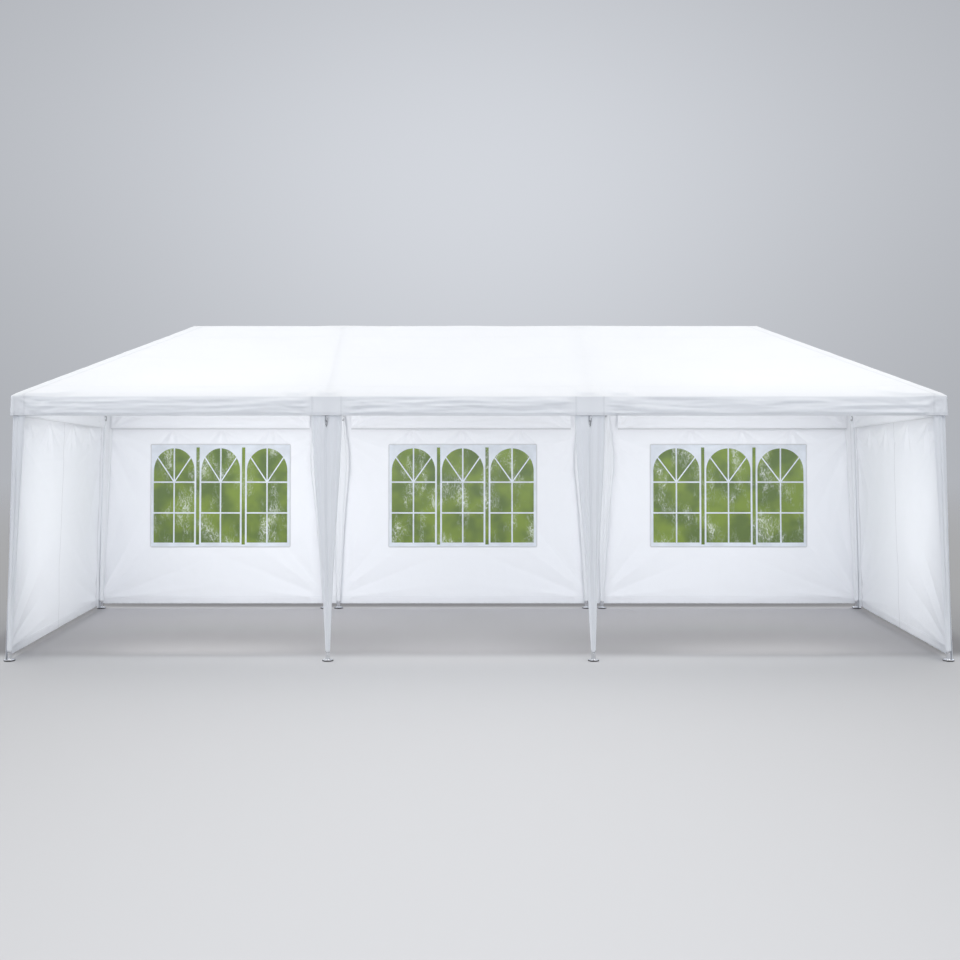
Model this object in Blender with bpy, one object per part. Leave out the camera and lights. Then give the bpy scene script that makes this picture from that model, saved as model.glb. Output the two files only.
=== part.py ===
"""Marquee tent, 9 m x 3 m, hipped roof on a steel tube frame, walls on three sides, open front.

Metres, +Z up. X runs along the ridge, -Y is the open front, the floor is Z = 0 and the
origin is at the middle of the footprint. Run in Blender: blender --background --python part.py
"""

import math

import bmesh
import bpy
import numpy as np
from mathutils import Vector

# Canopy
LENGTH = 9.0
DEPTH = 3.0
EAVE_Z = 2.57
RIDGE_Z = 3.315
RIDGE_LEFT_X = -3.087
RIDGE_RIGHT_X = 3.011
VALANCE_Z = 2.364
SHEET = 0.004
GAP = 0.0003

# Tube frame
TUBE_RADIUS = 0.019
SLEEVE_RADIUS = 0.022
SIDES = 12
RAIL_INSET = 0.045
CORNER_SLEEVE = 0.16
TEE_SLEEVE = 0.14
DOWN_ARM = 0.24
SLOPE_ARM = 0.14
# The arms lean with the legs, whose tops are level, so their ends stay this far apart on the axis.
LEG_TOP_GAP = 0.0011

# Legs: where each one's tube meets the eave rail, and where its foot stands
FRONT_FOOT_X = 4.525
REAR_FOOT_X = 4.557
FOOT_Y = 1.51
FRONT_INNER = {"left": (-1.475, -1.457), "right": (1.070, 1.104)}
REAR_INNER = {
    "left_a": (-1.937, -1.860),
    "left_b": (-1.658, -1.694),
    "right_a": (1.245, 1.296),
    "right_b": (1.525, 1.483),
}

# Feet
FOOT_RADIUS = 0.052
FOOT_RIM = 0.007
SOCKET_RADIUS = 0.0235
FOOT_HEIGHT = 0.085

# Walls
WALL_INSET = 0.0120
WALL_BOTTOM_Z = 0.062
FLAP_BOTTOM_Z = 2.158
END_FLAP_REACH = 1.385
REAR_WALLS = {
    "left": {"span": (-4.488, -1.7800), "flap": (-4.400, -2.030), "window": (-3.949, -2.271)},
    "middle": {"span": (-1.7796, 1.3896), "flap": (-1.531, 1.100), "window": (-1.087, 0.704)},
    "right": {"span": (1.3900, 4.488), "flap": (1.665, 4.400), "window": (2.061, 3.954)},
}
WINDOW_Z = (0.752, 1.962)

# Leg covers: (height, half width) from the foot up, and their depth about the leg
COVER_SHEET = 0.003
COVER_FOOT_RADIUS = 0.0224
COVER_DEPTH = 0.0285
COVER_BOTTOM_Z = 0.100
FRONT_COVER = [(0.78, 0.053), (1.89, 0.128), (2.36, 0.146)]
REAR_COVER = [(0.70, 0.042), (1.75, 0.106), (2.33, 0.050)]
CORNER_COVER_TOP_Z = 2.36
CORNER_COVER_REACH = 0.062
CORNER_COVER_INSIDE = 0.034

HALF_LENGTH = LENGTH / 2
HALF_DEPTH = DEPTH / 2
RISE = RIDGE_Z - EAVE_Z
SLOPE = RISE / HALF_DEPTH
SLOPE_COS = 1 / math.hypot(1, SLOPE)
SHEET_DROP = SHEET / SLOPE_COS
# The wall's folded top passes over the sleeves and just under the roof cloth.
WALL_TOP_Z = EAVE_Z + WALL_INSET * SLOPE - SHEET_DROP - GAP
RAIL_Z = WALL_TOP_Z - SHEET - GAP - SLEEVE_RADIUS
# Ridge, hips and rafters run this far under the outer face of the cloth, measured upright.
RAFTER_DROP = SHEET_DROP + (SLEEVE_RADIUS + GAP) / SLOPE_COS
RIDGE_AXIS_Z = RIDGE_Z - RAFTER_DROP
TOP_X = HALF_LENGTH - RAIL_INSET
TOP_Y = HALF_DEPTH - RAIL_INSET
LEG_TOP_Z = RAIL_Z - DOWN_ARM - LEG_TOP_GAP
LEG_BOTTOM_Z = FOOT_HEIGHT + GAP

WHITE_CLOTH = (0.90, 0.92, 0.95)
WHITE_PAINT = (0.86, 0.87, 0.89)
STEEL = (0.62, 0.63, 0.65)


def clear_scene():
    for obj in list(bpy.data.objects):
        bpy.data.objects.remove(obj, do_unlink=True)


def material(name, colour, roughness, metallic=0.0, alpha=1.0):
    found = bpy.data.materials.get(name)
    if found:
        return found
    made = bpy.data.materials.new(name)
    made.use_nodes = True
    shader = made.node_tree.nodes["Principled BSDF"]
    shader.inputs["Base Color"].default_value = (*colour, 1.0)
    shader.inputs["Roughness"].default_value = roughness
    shader.inputs["Metallic"].default_value = metallic
    shader.inputs["Alpha"].default_value = alpha
    return made


def roof_cloth():
    return material("roof_cloth", WHITE_CLOTH, 0.55)


def wall_cloth():
    return material("wall_cloth", WHITE_CLOTH, 0.60)


def cover_cloth():
    return material("cover_cloth", WHITE_CLOTH, 0.60)


def tube_paint():
    return material("tube_paint", WHITE_PAINT, 0.35)


def bright_steel():
    return material("bright_steel", STEEL, 0.18, metallic=1.0)


def clear_film():
    return material("clear_film", (0.75, 0.82, 0.78), 0.12, alpha=0.45)


def add_object(name, mesh, surface, parent, location=(0, 0, 0)):
    mesh.materials.append(surface)
    obj = bpy.data.objects.new(name, mesh)
    bpy.context.scene.collection.objects.link(obj)
    obj.location = location
    obj.parent = parent
    return obj


def mesh_from(name, points, faces, smooth=False):
    mesh = bpy.data.meshes.new(name)
    mesh.from_pydata([tuple(map(float, p)) for p in points], [], faces)
    shape = bmesh.new()
    shape.from_mesh(mesh)
    bmesh.ops.recalc_face_normals(shape, faces=shape.faces)
    shape.to_mesh(mesh)
    shape.free()
    if smooth:
        mesh.shade_smooth()
        mesh.set_sharp_from_angle(angle=math.radians(40))
    return mesh


def ring(centre, radii, sides=SIDES):
    """Level ring of points about centre: radii is one radius, or one for each side."""
    angles = np.arange(sides) * 2 * math.pi / sides
    spread = np.broadcast_to(radii, (sides,))
    x = centre[0] + spread * np.cos(angles)
    y = centre[1] + spread * np.sin(angles)
    return np.column_stack([x, y, np.full(sides, centre[2])])


def skin(rings, closed):
    """Triangles between rings, joining the last ring to the first if closed.

    A band that falls is split along the other diagonal than one that rises, so that the
    two skins of a thin sleeve stay parallel.
    """
    sides = len(rings[0])
    count = len(rings)
    faces = []
    for low in range(count if closed else count - 1):
        high = (low + 1) % count
        rises = rings[high][0][2] >= rings[low][0][2]
        for i in range(sides):
            j = (i + 1) % sides
            li, lj, hi, hj = low * sides + i, low * sides + j, high * sides + i, high * sides + j
            faces += [(li, lj, hj), (li, hj, hi)] if rises else [(li, lj, hi), (lj, hj, hi)]
    return faces


def solid_loft(name, rings):
    """A closed solid through level rings, capped at both ends."""
    sides = len(rings[0])
    faces = skin(rings, closed=False)
    last = (len(rings) - 1) * sides
    faces.append(tuple(reversed(range(sides))))
    faces.append(tuple(range(last, last + sides)))
    return mesh_from(name, np.vstack(rings), faces, smooth=True)


def open_sleeve(name, outer, inner):
    """A sleeve of cloth open at both ends: up the outer rings and back down the inner ones."""
    rings = list(outer) + list(reversed(inner))
    return mesh_from(name, np.vstack(rings), skin(rings, closed=True), smooth=True)


def tube_mesh(name, start, end, radius):
    """A straight solid tube from start to end, its ends square to its length."""
    start = Vector(start)
    end = Vector(end)
    along = end - start
    shape = bmesh.new()
    bmesh.ops.create_cone(
        shape, cap_ends=True, segments=SIDES, radius1=radius, radius2=radius, depth=along.length
    )
    turn = along.to_track_quat("Z", "Y").to_matrix().to_4x4()
    turn.translation = (start + end) / 2
    bmesh.ops.transform(shape, matrix=turn, verts=shape.verts)
    mesh = bpy.data.meshes.new(name)
    shape.to_mesh(mesh)
    shape.free()
    mesh.shade_smooth()
    mesh.set_sharp_from_angle(angle=math.radians(40))
    return mesh


def joined_tubes(name, tubes, surface, parent):
    """One welded piece: the first tube, with each further one joined on by a Boolean union."""
    start, end, radius = tubes[0]
    whole = add_object(name, tube_mesh(name, start, end, radius), surface, parent)
    for number, (start, end, radius) in enumerate(tubes[1:], 1):
        arm_name = f"{name}_joint_{number}"
        arm = add_object(arm_name, tube_mesh(arm_name, start, end, radius), surface, parent)
        arm.hide_render = True
        arm.display_type = "WIRE"
        union = whole.modifiers.new(f"join_{number}", "BOOLEAN")
        union.operation = "UNION"
        union.solver = "EXACT"
        union.object = arm
    return whole


def box_solid(name, xs, ys, zs, filled, move):
    """The boundary of the filled cells of a grid of boxes, as one closed mesh.

    xs, ys and zs are the grid's planes, filled is an array of true cells, and move takes
    the grid's points to their final places.
    """
    grid = np.array([[x, y, z] for x in xs for y in ys for z in zs])
    ny, nz = len(ys), len(zs)
    solid = np.pad(np.asarray(filled, bool), 1)
    faces = []
    used = {}

    def corner(i, j, k):
        key = (i * ny + j) * nz + k
        return used.setdefault(key, len(used))

    sides = {
        (1, 0, 0): ((1, 0, 0), (1, 1, 0), (1, 1, 1), (1, 0, 1)),
        (-1, 0, 0): ((0, 0, 0), (0, 0, 1), (0, 1, 1), (0, 1, 0)),
        (0, 1, 0): ((0, 1, 0), (0, 1, 1), (1, 1, 1), (1, 1, 0)),
        (0, -1, 0): ((0, 0, 0), (1, 0, 0), (1, 0, 1), (0, 0, 1)),
        (0, 0, 1): ((0, 0, 1), (1, 0, 1), (1, 1, 1), (0, 1, 1)),
        (0, 0, -1): ((0, 0, 0), (0, 1, 0), (1, 1, 0), (1, 0, 0)),
    }
    for i, j, k in zip(*np.nonzero(solid)):
        for (dx, dy, dz), corners in sides.items():
            if not solid[i + dx, j + dy, k + dz]:
                faces.append(tuple(corner(i - 1 + a, j - 1 + b, k - 1 + c) for a, b, c in corners))
    order = sorted(used, key=used.get)
    return mesh_from(name, [move(*grid[key]) for key in order], faces)


def splayed(x, y, z):
    """Legs and walls lean out towards the floor: the plan grows from the eave rail down."""
    down = max(0.0, (RAIL_Z - z) / RAIL_Z)
    front_share = (TOP_Y - y) / (2 * TOP_Y)
    foot_x = front_share * FRONT_FOOT_X + (1 - front_share) * REAR_FOOT_X
    grow_x = foot_x / TOP_X - 1
    grow_y = FOOT_Y / TOP_Y - 1
    return x * (1 + grow_x * down), y * (1 + grow_y * down), z


def leg_places():
    """Each leg's name, with where its axis meets the rail and where its foot stands, in plan."""
    places = {
        "front_left": ((-TOP_X, -TOP_Y), (-FRONT_FOOT_X, -FOOT_Y)),
        "front_right": ((TOP_X, -TOP_Y), (FRONT_FOOT_X, -FOOT_Y)),
        "rear_left": ((-TOP_X, TOP_Y), (-REAR_FOOT_X, FOOT_Y)),
        "rear_right": ((TOP_X, TOP_Y), (REAR_FOOT_X, FOOT_Y)),
    }
    for name, (top, foot) in FRONT_INNER.items():
        places[f"front_inner_{name}"] = ((top, -TOP_Y), (foot, -FOOT_Y))
    for name, (top, foot) in REAR_INNER.items():
        places[f"rear_inner_{name}"] = ((top, TOP_Y), (foot, FOOT_Y))
    return places


def axis_at(place, z):
    """The point of a leg's axis at height z."""
    top, foot = place
    up = z / RAIL_Z
    return (foot[0] + (top[0] - foot[0]) * up, foot[1] + (top[1] - foot[1]) * up, z)


def add_legs(parent):
    for name, place in leg_places().items():
        low = axis_at(place, LEG_BOTTOM_Z)
        high = axis_at(place, LEG_TOP_Z)
        rings = [ring(np.subtract(p, low), TUBE_RADIUS) for p in (low, high)]
        add_object(f"leg_{name}", solid_loft(f"leg_{name}", rings), tube_paint(), parent, low)


def add_feet(parent):
    """Round pressed steel feet: a rim on the floor, a dished plate and an upright socket."""
    profile = [
        (0.0, FOOT_RADIUS - 0.002),
        (FOOT_RIM * 0.4, FOOT_RADIUS),
        (FOOT_RIM, FOOT_RADIUS - 0.004),
        (FOOT_RIM + 0.004, SOCKET_RADIUS + 0.010),
        (FOOT_RIM + 0.012, SOCKET_RADIUS + 0.002),
        (FOOT_RIM + 0.018, SOCKET_RADIUS),
        (FOOT_HEIGHT, SOCKET_RADIUS),
    ]
    shape = solid_loft("foot", [ring((0, 0, z), radius) for z, radius in profile])
    for name, place in leg_places().items():
        at = axis_at(place, 0.0)
        add_object(f"foot_{name}", shape.copy(), bright_steel(), parent, at)


def rafter_point(x, y):
    """The point of the surface on which hips, rafters and ridge have their axes."""
    return (x, y, RIDGE_AXIS_Z - abs(y) * SLOPE)


def rafter_ends():
    """Each inner rafter's name, with its plan points at the eave and at the ridge."""
    rear_left = (REAR_INNER["left_a"][0] + REAR_INNER["left_b"][0]) / 2
    rear_right = (REAR_INNER["right_a"][0] + REAR_INNER["right_b"][0]) / 2
    left = FRONT_INNER["left"][0]
    right = FRONT_INNER["right"][0]
    return {
        "front_left": ((left, -TOP_Y), (left, 0.0)),
        "front_right": ((right, -TOP_Y), (right, 0.0)),
        "rear_left": ((rear_left, TOP_Y), (left, 0.0)),
        "rear_right": ((rear_right, TOP_Y), (right, 0.0)),
    }


def hip_ends():
    """Each hip tube's name, with its plan points at the corner and at the ridge's end."""
    share = RAIL_INSET / HALF_DEPTH
    ends = {}
    for side, corner_x, ridge_x in (
        ("left", -HALF_LENGTH, RIDGE_LEFT_X),
        ("right", HALF_LENGTH, RIDGE_RIGHT_X),
    ):
        x = corner_x + (ridge_x - corner_x) * share
        ends[f"front_{side}"] = ((x, -TOP_Y), (ridge_x, 0.0))
        ends[f"rear_{side}"] = ((x, TOP_Y), (ridge_x, 0.0))
    return ends


def arm(start, end, length):
    """A sleeve from start towards end, as (start, end, radius)."""
    start = Vector(start)
    towards = (Vector(end) - start).normalized()
    return (start, start + towards * length, SLEEVE_RADIUS)


def slope_tubes(kind, ends, parent):
    """The tubes that slope up to the ridge, each held in a sleeve at both ends."""
    for name, (eave, ridge) in ends.items():
        low = Vector(rafter_point(*eave))
        high = Vector(rafter_point(*ridge))
        along = (high - low).normalized()
        free = SLOPE_ARM + GAP
        points = (low + along * free, high - along * free)
        obj_name = f"{kind}_{name}"
        mesh = tube_mesh(obj_name, *points, TUBE_RADIUS)
        add_object(obj_name, mesh, tube_paint(), parent)


def down_arm(place):
    """The sleeve that takes a leg's top."""
    rail = axis_at(place, RAIL_Z)
    return (rail, axis_at(place, RAIL_Z - DOWN_ARM), SLEEVE_RADIUS - 0.0003)


def add_end_rails(parent):
    """The two short eave rails, with the corner joints that take legs, front, rear and hips."""
    places = leg_places()
    hips = hip_ends()
    for side, sign in (("left", -1), ("right", 1)):
        x = sign * TOP_X
        reach = TOP_Y + SLEEVE_RADIUS
        tubes = [((x, -reach, RAIL_Z), (x, reach, RAIL_Z), TUBE_RADIUS)]
        for end, end_sign in (("front", -1), ("rear", 1)):
            y = end_sign * TOP_Y
            inward = (x, y - end_sign, RAIL_Z)
            corner = (x, end_sign * reach, RAIL_Z)
            tubes.append(arm(corner, inward, CORNER_SLEEVE + SLEEVE_RADIUS))
            tubes.append(arm((x, y, RAIL_Z), (0, y, RAIL_Z), CORNER_SLEEVE))
            tubes.append(down_arm(places[f"{end}_{side}"]))
            eave, ridge = hips[f"{end}_{side}"]
            tubes.append(arm(rafter_point(*eave), rafter_point(*ridge), SLOPE_ARM))
        joined_tubes(f"eave_rail_{side}", tubes, tube_paint(), parent)


def add_long_rails(parent):
    """Front and rear eave rails, with the tee joints over the inner legs and rafters."""
    places = leg_places()
    rafters = rafter_ends()
    reach = TOP_X - CORNER_SLEEVE - GAP
    groups = {
        "front": [("front_inner_left",), ("front_inner_right",)],
        "rear": [
            ("rear_inner_left_a", "rear_inner_left_b"),
            ("rear_inner_right_a", "rear_inner_right_b"),
        ],
    }
    for end, sign in (("front", -1), ("rear", 1)):
        y = sign * TOP_Y
        tubes = [((-reach, y, RAIL_Z), (reach, y, RAIL_Z), TUBE_RADIUS)]
        for names, side in zip(groups[end], ("left", "right")):
            tops = [places[name][0][0] for name in names]
            sleeve = ((min(tops) - TEE_SLEEVE, y, RAIL_Z), (max(tops) + TEE_SLEEVE, y, RAIL_Z))
            tubes.append((*sleeve, SLEEVE_RADIUS))
            tubes.extend(down_arm(places[name]) for name in names)
            eave, ridge = rafters[f"{end}_{side}"]
            tubes.append(arm(rafter_point(*eave), rafter_point(*ridge), SLOPE_ARM))
        joined_tubes(f"eave_rail_{end}", tubes, tube_paint(), parent)


def add_ridge(parent):
    """The ridge tube, with its joints to the hips at both ends and to the inner rafters."""
    left = (RIDGE_LEFT_X, 0, RIDGE_AXIS_Z)
    right = (RIDGE_RIGHT_X, 0, RIDGE_AXIS_Z)
    tubes = [(left, right, TUBE_RADIUS)]
    tubes.append(arm(left, right, CORNER_SLEEVE))
    tubes.append(arm(right, left, CORNER_SLEEVE))
    for eave, ridge in hip_ends().values():
        tubes.append(arm(rafter_point(*ridge), rafter_point(*eave), SLOPE_ARM))
    for inner_x, _ in FRONT_INNER.values():
        ends = [(inner_x + way * TEE_SLEEVE, 0, RIDGE_AXIS_Z) for way in (-1, 1)]
        tubes.append((*ends, SLEEVE_RADIUS))
    for eave, ridge in rafter_ends().values():
        tubes.append(arm(rafter_point(*ridge), rafter_point(*eave), SLOPE_ARM))
    joined_tubes("ridge_rail", tubes, tube_paint(), parent)


def add_long_slope(name, sign, parent):
    """The front or rear roof slope with its valance, ending on the hips' upright planes."""

    def hip_x(inset, side):
        corner = side * HALF_LENGTH
        ridge = RIDGE_RIGHT_X if side > 0 else RIDGE_LEFT_X
        return corner + (ridge - corner) * inset / HALF_DEPTH - side * GAP

    inner_eave = EAVE_Z + SHEET * SLOPE - SHEET_DROP
    section = [
        (0.0, VALANCE_Z),
        (0.0, EAVE_Z),
        (HALF_DEPTH - GAP, RIDGE_Z - GAP * SLOPE),
        (HALF_DEPTH - GAP, RIDGE_Z - GAP * SLOPE - SHEET_DROP),
        (SHEET, inner_eave),
        (SHEET, VALANCE_Z),
    ]
    points = []
    for side in (-1, 1):
        for inset, z in section:
            points.append((hip_x(inset, side), sign * (HALF_DEPTH - inset), z))
    add_object(name, section_solid(name, points, len(section)), roof_cloth(), parent)


def add_end_slope(name, sign, ridge_x, parent):
    """The left or right roof slope with its valance: a triangle over the end wall."""
    run = HALF_LENGTH - abs(ridge_x)
    slope = RISE / run
    drop = SHEET * math.hypot(1, slope)
    inner_eave = EAVE_Z + SHEET * slope - drop

    def hip_y(inset, side):
        return side * (HALF_DEPTH * (1 - inset / run) - GAP)

    apex = run * (1 - 2 * GAP / HALF_DEPTH)
    section = [
        (0.0, VALANCE_Z),
        (0.0, EAVE_Z),
        (apex, EAVE_Z + apex * slope),
        (apex, EAVE_Z + apex * slope - drop),
        (SHEET, inner_eave),
        (SHEET, VALANCE_Z),
    ]
    points = []
    for side in (-1, 1):
        for inset, z in section:
            points.append((sign * (HALF_LENGTH - inset), hip_y(inset, side), z))
    add_object(name, section_solid(name, points, len(section)), roof_cloth(), parent)


def section_solid(name, points, count):
    """A solid between two like outlines of six points: a bent sheet, valance and slope."""
    faces = []
    for i in range(count):
        j = (i + 1) % count
        faces.append((i, j, count + j, count + i))
    for first in (0, count):
        faces.append((first, first + 1, first + 4, first + 5))
        faces.append((first + 1, first + 2, first + 3, first + 4))
    return mesh_from(name, points, faces)


def flap_insets():
    """Planes across a wall: outer sheet's two faces, then the folded flap's two faces."""
    inner = RAIL_INSET + SLEEVE_RADIUS + GAP
    return [WALL_INSET, WALL_INSET + SHEET, inner, inner + SHEET]


def wall_cells(lengths, heights, flap, window=None):
    """Which cells of a wall are cloth: outer sheet, folded top and flap, less the window."""
    insets = flap_insets()
    filled = np.zeros((len(lengths) - 1, len(insets) - 1, len(heights) - 1), bool)
    filled[:, 0, :-1] = True
    for i, start in enumerate(lengths[:-1]):
        if flap[0] <= start < flap[1]:
            filled[i, :, -1] = True
            for k, low in enumerate(heights[:-1]):
                if low >= FLAP_BOTTOM_Z:
                    filled[i, 2, k] = True
        if window and window[0] <= start < window[1]:
            for k, low in enumerate(heights[:-1]):
                if WINDOW_Z[0] <= low < WINDOW_Z[1]:
                    filled[i, 0, k] = False
    return filled


def add_rear_walls(parent):
    insets = flap_insets()
    ys = [HALF_DEPTH - inset for inset in insets]
    top = [WALL_TOP_Z - SHEET, WALL_TOP_Z]
    for side, cut in REAR_WALLS.items():
        xs = sorted([*cut["span"], *cut["flap"], *cut["window"]])
        zs = [WALL_BOTTOM_Z, *WINDOW_Z, FLAP_BOTTOM_Z, RAIL_Z, *top]
        filled = wall_cells(xs, zs, cut["flap"], cut["window"])
        name = f"wall_rear_{side}"
        add_object(name, box_solid(name, xs, ys, zs, filled, splayed), wall_cloth(), parent)
        film_x = [cut["window"][0] + GAP, cut["window"][1] - GAP]
        film_z = [WINDOW_Z[0] + GAP, WINDOW_Z[1] - GAP]
        film = box_solid(f"window_{side}", film_x, ys[:2], film_z, np.ones((1, 1, 1)), splayed)
        add_object(f"window_{side}", film, clear_film(), parent)


def add_end_walls(parent):
    insets = flap_insets()
    front = -(HALF_DEPTH - WALL_INSET - SHEET)
    rear = HALF_DEPTH - WALL_INSET - SHEET - GAP
    flap = (-END_FLAP_REACH, END_FLAP_REACH)
    ys = [front, *flap, rear]
    zs = [WALL_BOTTOM_Z, FLAP_BOTTOM_Z, RAIL_Z, WALL_TOP_Z - SHEET, WALL_TOP_Z]
    filled = np.transpose(wall_cells(ys, zs, flap), (1, 0, 2))
    for side, sign in (("left", -1), ("right", 1)):
        xs = [sign * (HALF_LENGTH - inset) for inset in insets]
        name = f"wall_{side}"
        add_object(name, box_solid(name, xs, ys, zs, filled, splayed), wall_cloth(), parent)


def flat_cover(name, place, steps, parent):
    """A cloth sleeve round an inner leg: narrow at the foot, broad and flat at the top."""
    angles = np.arange(SIDES) * 2 * math.pi / SIDES
    rings = {"outer": [], "inner": []}
    levels = [(COVER_BOTTOM_Z, COVER_FOOT_RADIUS, COVER_FOOT_RADIUS)]
    levels += [(z, width, min(width, COVER_DEPTH)) for z, width in steps]
    for z, width, depth in levels:
        centre = axis_at(place, z)
        for key, less in (("outer", 0.0), ("inner", COVER_SHEET)):
            x = (width - less) * np.cos(angles)
            y = (depth - less) * np.sin(angles)
            rings[key].append(np.column_stack([centre[0] + x, centre[1] + y, np.full(SIDES, z)]))
    mesh = open_sleeve(name, rings["outer"], rings["inner"])
    add_object(name, mesh, cover_cloth(), parent)


def corner_cover(name, place, parent):
    """A cloth sleeve round a corner leg: at the top it follows both valances for a way."""
    out_x = math.copysign(1, place[0][0])
    out_y = math.copysign(1, place[0][1])
    angles = np.arange(SIDES) * 2 * math.pi / SIDES
    outward_x = np.cos(angles) * out_x
    outward_y = np.sin(angles) * out_y
    reach = np.full(SIDES, CORNER_COVER_REACH)
    for outward in (outward_x, outward_y):
        facing = outward > 0.01
        reach[facing] = np.minimum(reach[facing], COVER_DEPTH / outward[facing])
    inside = (outward_x < -0.01) & (outward_y < -0.01)
    reach[inside] = CORNER_COVER_INSIDE
    rings = {"outer": [], "inner": []}
    for z, radii in ((COVER_BOTTOM_Z, COVER_FOOT_RADIUS), (CORNER_COVER_TOP_Z, reach)):
        rings["outer"].append(ring(axis_at(place, z), radii))
        rings["inner"].append(ring(axis_at(place, z), radii - COVER_SHEET))
    mesh = open_sleeve(name, rings["outer"], rings["inner"])
    add_object(name, mesh, cover_cloth(), parent)


def add_covers(parent):
    for name, place in leg_places().items():
        if "inner" not in name:
            corner_cover(f"cover_{name}", place, parent)
        elif name.startswith("front"):
            flat_cover(f"cover_{name}", place, FRONT_COVER, parent)
        else:
            flat_cover(f"cover_{name}", place, REAR_COVER, parent)


def main():
    clear_scene()
    tent = bpy.data.objects.new("marquee_tent", None)
    bpy.context.scene.collection.objects.link(tent)
    add_legs(tent)
    add_feet(tent)
    add_end_rails(tent)
    add_long_rails(tent)
    add_ridge(tent)
    slope_tubes("hip", hip_ends(), tent)
    slope_tubes("rafter", rafter_ends(), tent)
    add_long_slope("roof_front", -1, tent)
    add_long_slope("roof_rear", 1, tent)
    add_end_slope("roof_left", -1, RIDGE_LEFT_X, tent)
    add_end_slope("roof_right", 1, RIDGE_RIGHT_X, tent)
    add_rear_walls(tent)
    add_end_walls(tent)
    add_covers(tent)


main()
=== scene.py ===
import math

import bmesh
import bpy
import numpy as np
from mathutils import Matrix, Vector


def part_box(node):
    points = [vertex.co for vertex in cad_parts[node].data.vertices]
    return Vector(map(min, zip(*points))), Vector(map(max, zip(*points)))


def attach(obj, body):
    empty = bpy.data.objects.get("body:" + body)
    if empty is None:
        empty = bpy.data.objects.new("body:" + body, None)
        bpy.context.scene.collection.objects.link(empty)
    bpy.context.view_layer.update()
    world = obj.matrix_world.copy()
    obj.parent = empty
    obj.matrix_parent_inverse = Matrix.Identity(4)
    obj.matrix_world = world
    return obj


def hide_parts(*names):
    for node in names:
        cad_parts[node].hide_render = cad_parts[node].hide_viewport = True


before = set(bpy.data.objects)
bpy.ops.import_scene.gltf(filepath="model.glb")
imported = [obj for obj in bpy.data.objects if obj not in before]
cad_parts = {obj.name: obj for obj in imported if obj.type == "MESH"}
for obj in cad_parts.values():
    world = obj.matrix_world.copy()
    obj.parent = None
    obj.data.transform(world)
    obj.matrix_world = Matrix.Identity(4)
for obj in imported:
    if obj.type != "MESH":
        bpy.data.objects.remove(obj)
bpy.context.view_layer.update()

# Camera, in front of the open side at eye height a little under the eave, level, with the
# horizon above the middle of the picture.
FOCAL_PIXELS = 1244.0
IMAGE_PIXELS = 960.0
MIDDLE_PIXELS = (479.0, 399.3)
CAMERA_PLACE = (0.0, -13.5, 2.52)

camera = bpy.data.objects.new("camera", bpy.data.cameras.new("camera"))
camera.data.sensor_width = 36.0
camera.data.lens = FOCAL_PIXELS / IMAGE_PIXELS * camera.data.sensor_width
camera.data.shift_x = (IMAGE_PIXELS / 2 - MIDDLE_PIXELS[0]) / IMAGE_PIXELS
camera.data.shift_y = (MIDDLE_PIXELS[1] - IMAGE_PIXELS / 2) / IMAGE_PIXELS
camera.location = CAMERA_PLACE
camera.rotation_euler = (math.radians(90), 0, 0)
bpy.context.scene.collection.objects.link(camera)
bpy.context.scene.camera = camera
bpy.context.scene.view_settings.view_transform = "Standard"


# Studio: a seamless pale grey floor that fades into the backdrop's tone, with a painted pool of
# light in front of the tent, painted light along its front edge, painted shade under it and a
# painted shadow just outside its walls; a soft light from above and behind, dim all round, with
# grey flags where metal mirrors it, and a wide soft panel in each bay of the open side that lights
# the inside.
FLOOR_RADIUS = 32.0
FLOOR_PAINTED_POOL = (0.585, 0.59, 0.606)
FLOOR_SIDES = (0.30, 0.30, 0.303)
FLOOR_PAINTED_TENT_SHADE = (0.51, 0.502, 0.515)
FLOOR_PAINTED_BAY_SHADE = (0.29, 0.286, 0.293)
FLOOR_PAINTED_WALL_SHADOW = (0.235, 0.232, 0.237)
FLOOR_PAINTED_EDGE_LIGHT = (0.65, 0.648, 0.66)
FLOOR_TURN = (-1.42, -1.02)
FLOOR_FADE = (8.0, 30.0)
BACKDROP_EDGE = 0.392
BACKDROP_RISE = 0.040
BACKDROP_GLOW = 0.258
BACKDROP_TINT = (0.955, 0.99, 1.06, 1.0)
ROUND_LIGHT = 0.42
OVERHEAD_LIGHT = 0.82
FRONT_LIGHT = 0.46
REAR_LIGHT = 0.50
SIDE_LIGHT = 0.50
SIDE_TURN = 0.22
FLAG_TONE = 0.50
ROUND_TINT = (0.92, 1.0, 1.14, 1.0)
OVERHEAD_TINT = (1.0, 0.99, 0.975, 1.0)
INNER_WATTS = (39.0, 13.0, 34.5)
INNER_SIZE = (1.7, 1.6)
INNER_ACROSS = (-2.70, -0.2, 2.80)
INNER_FRONT = -1.42
INNER_HEIGHT = 1.20
INNER_TILT = 97.0
INNER_COLOUR = (1.0, 0.99, 0.98)


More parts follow.
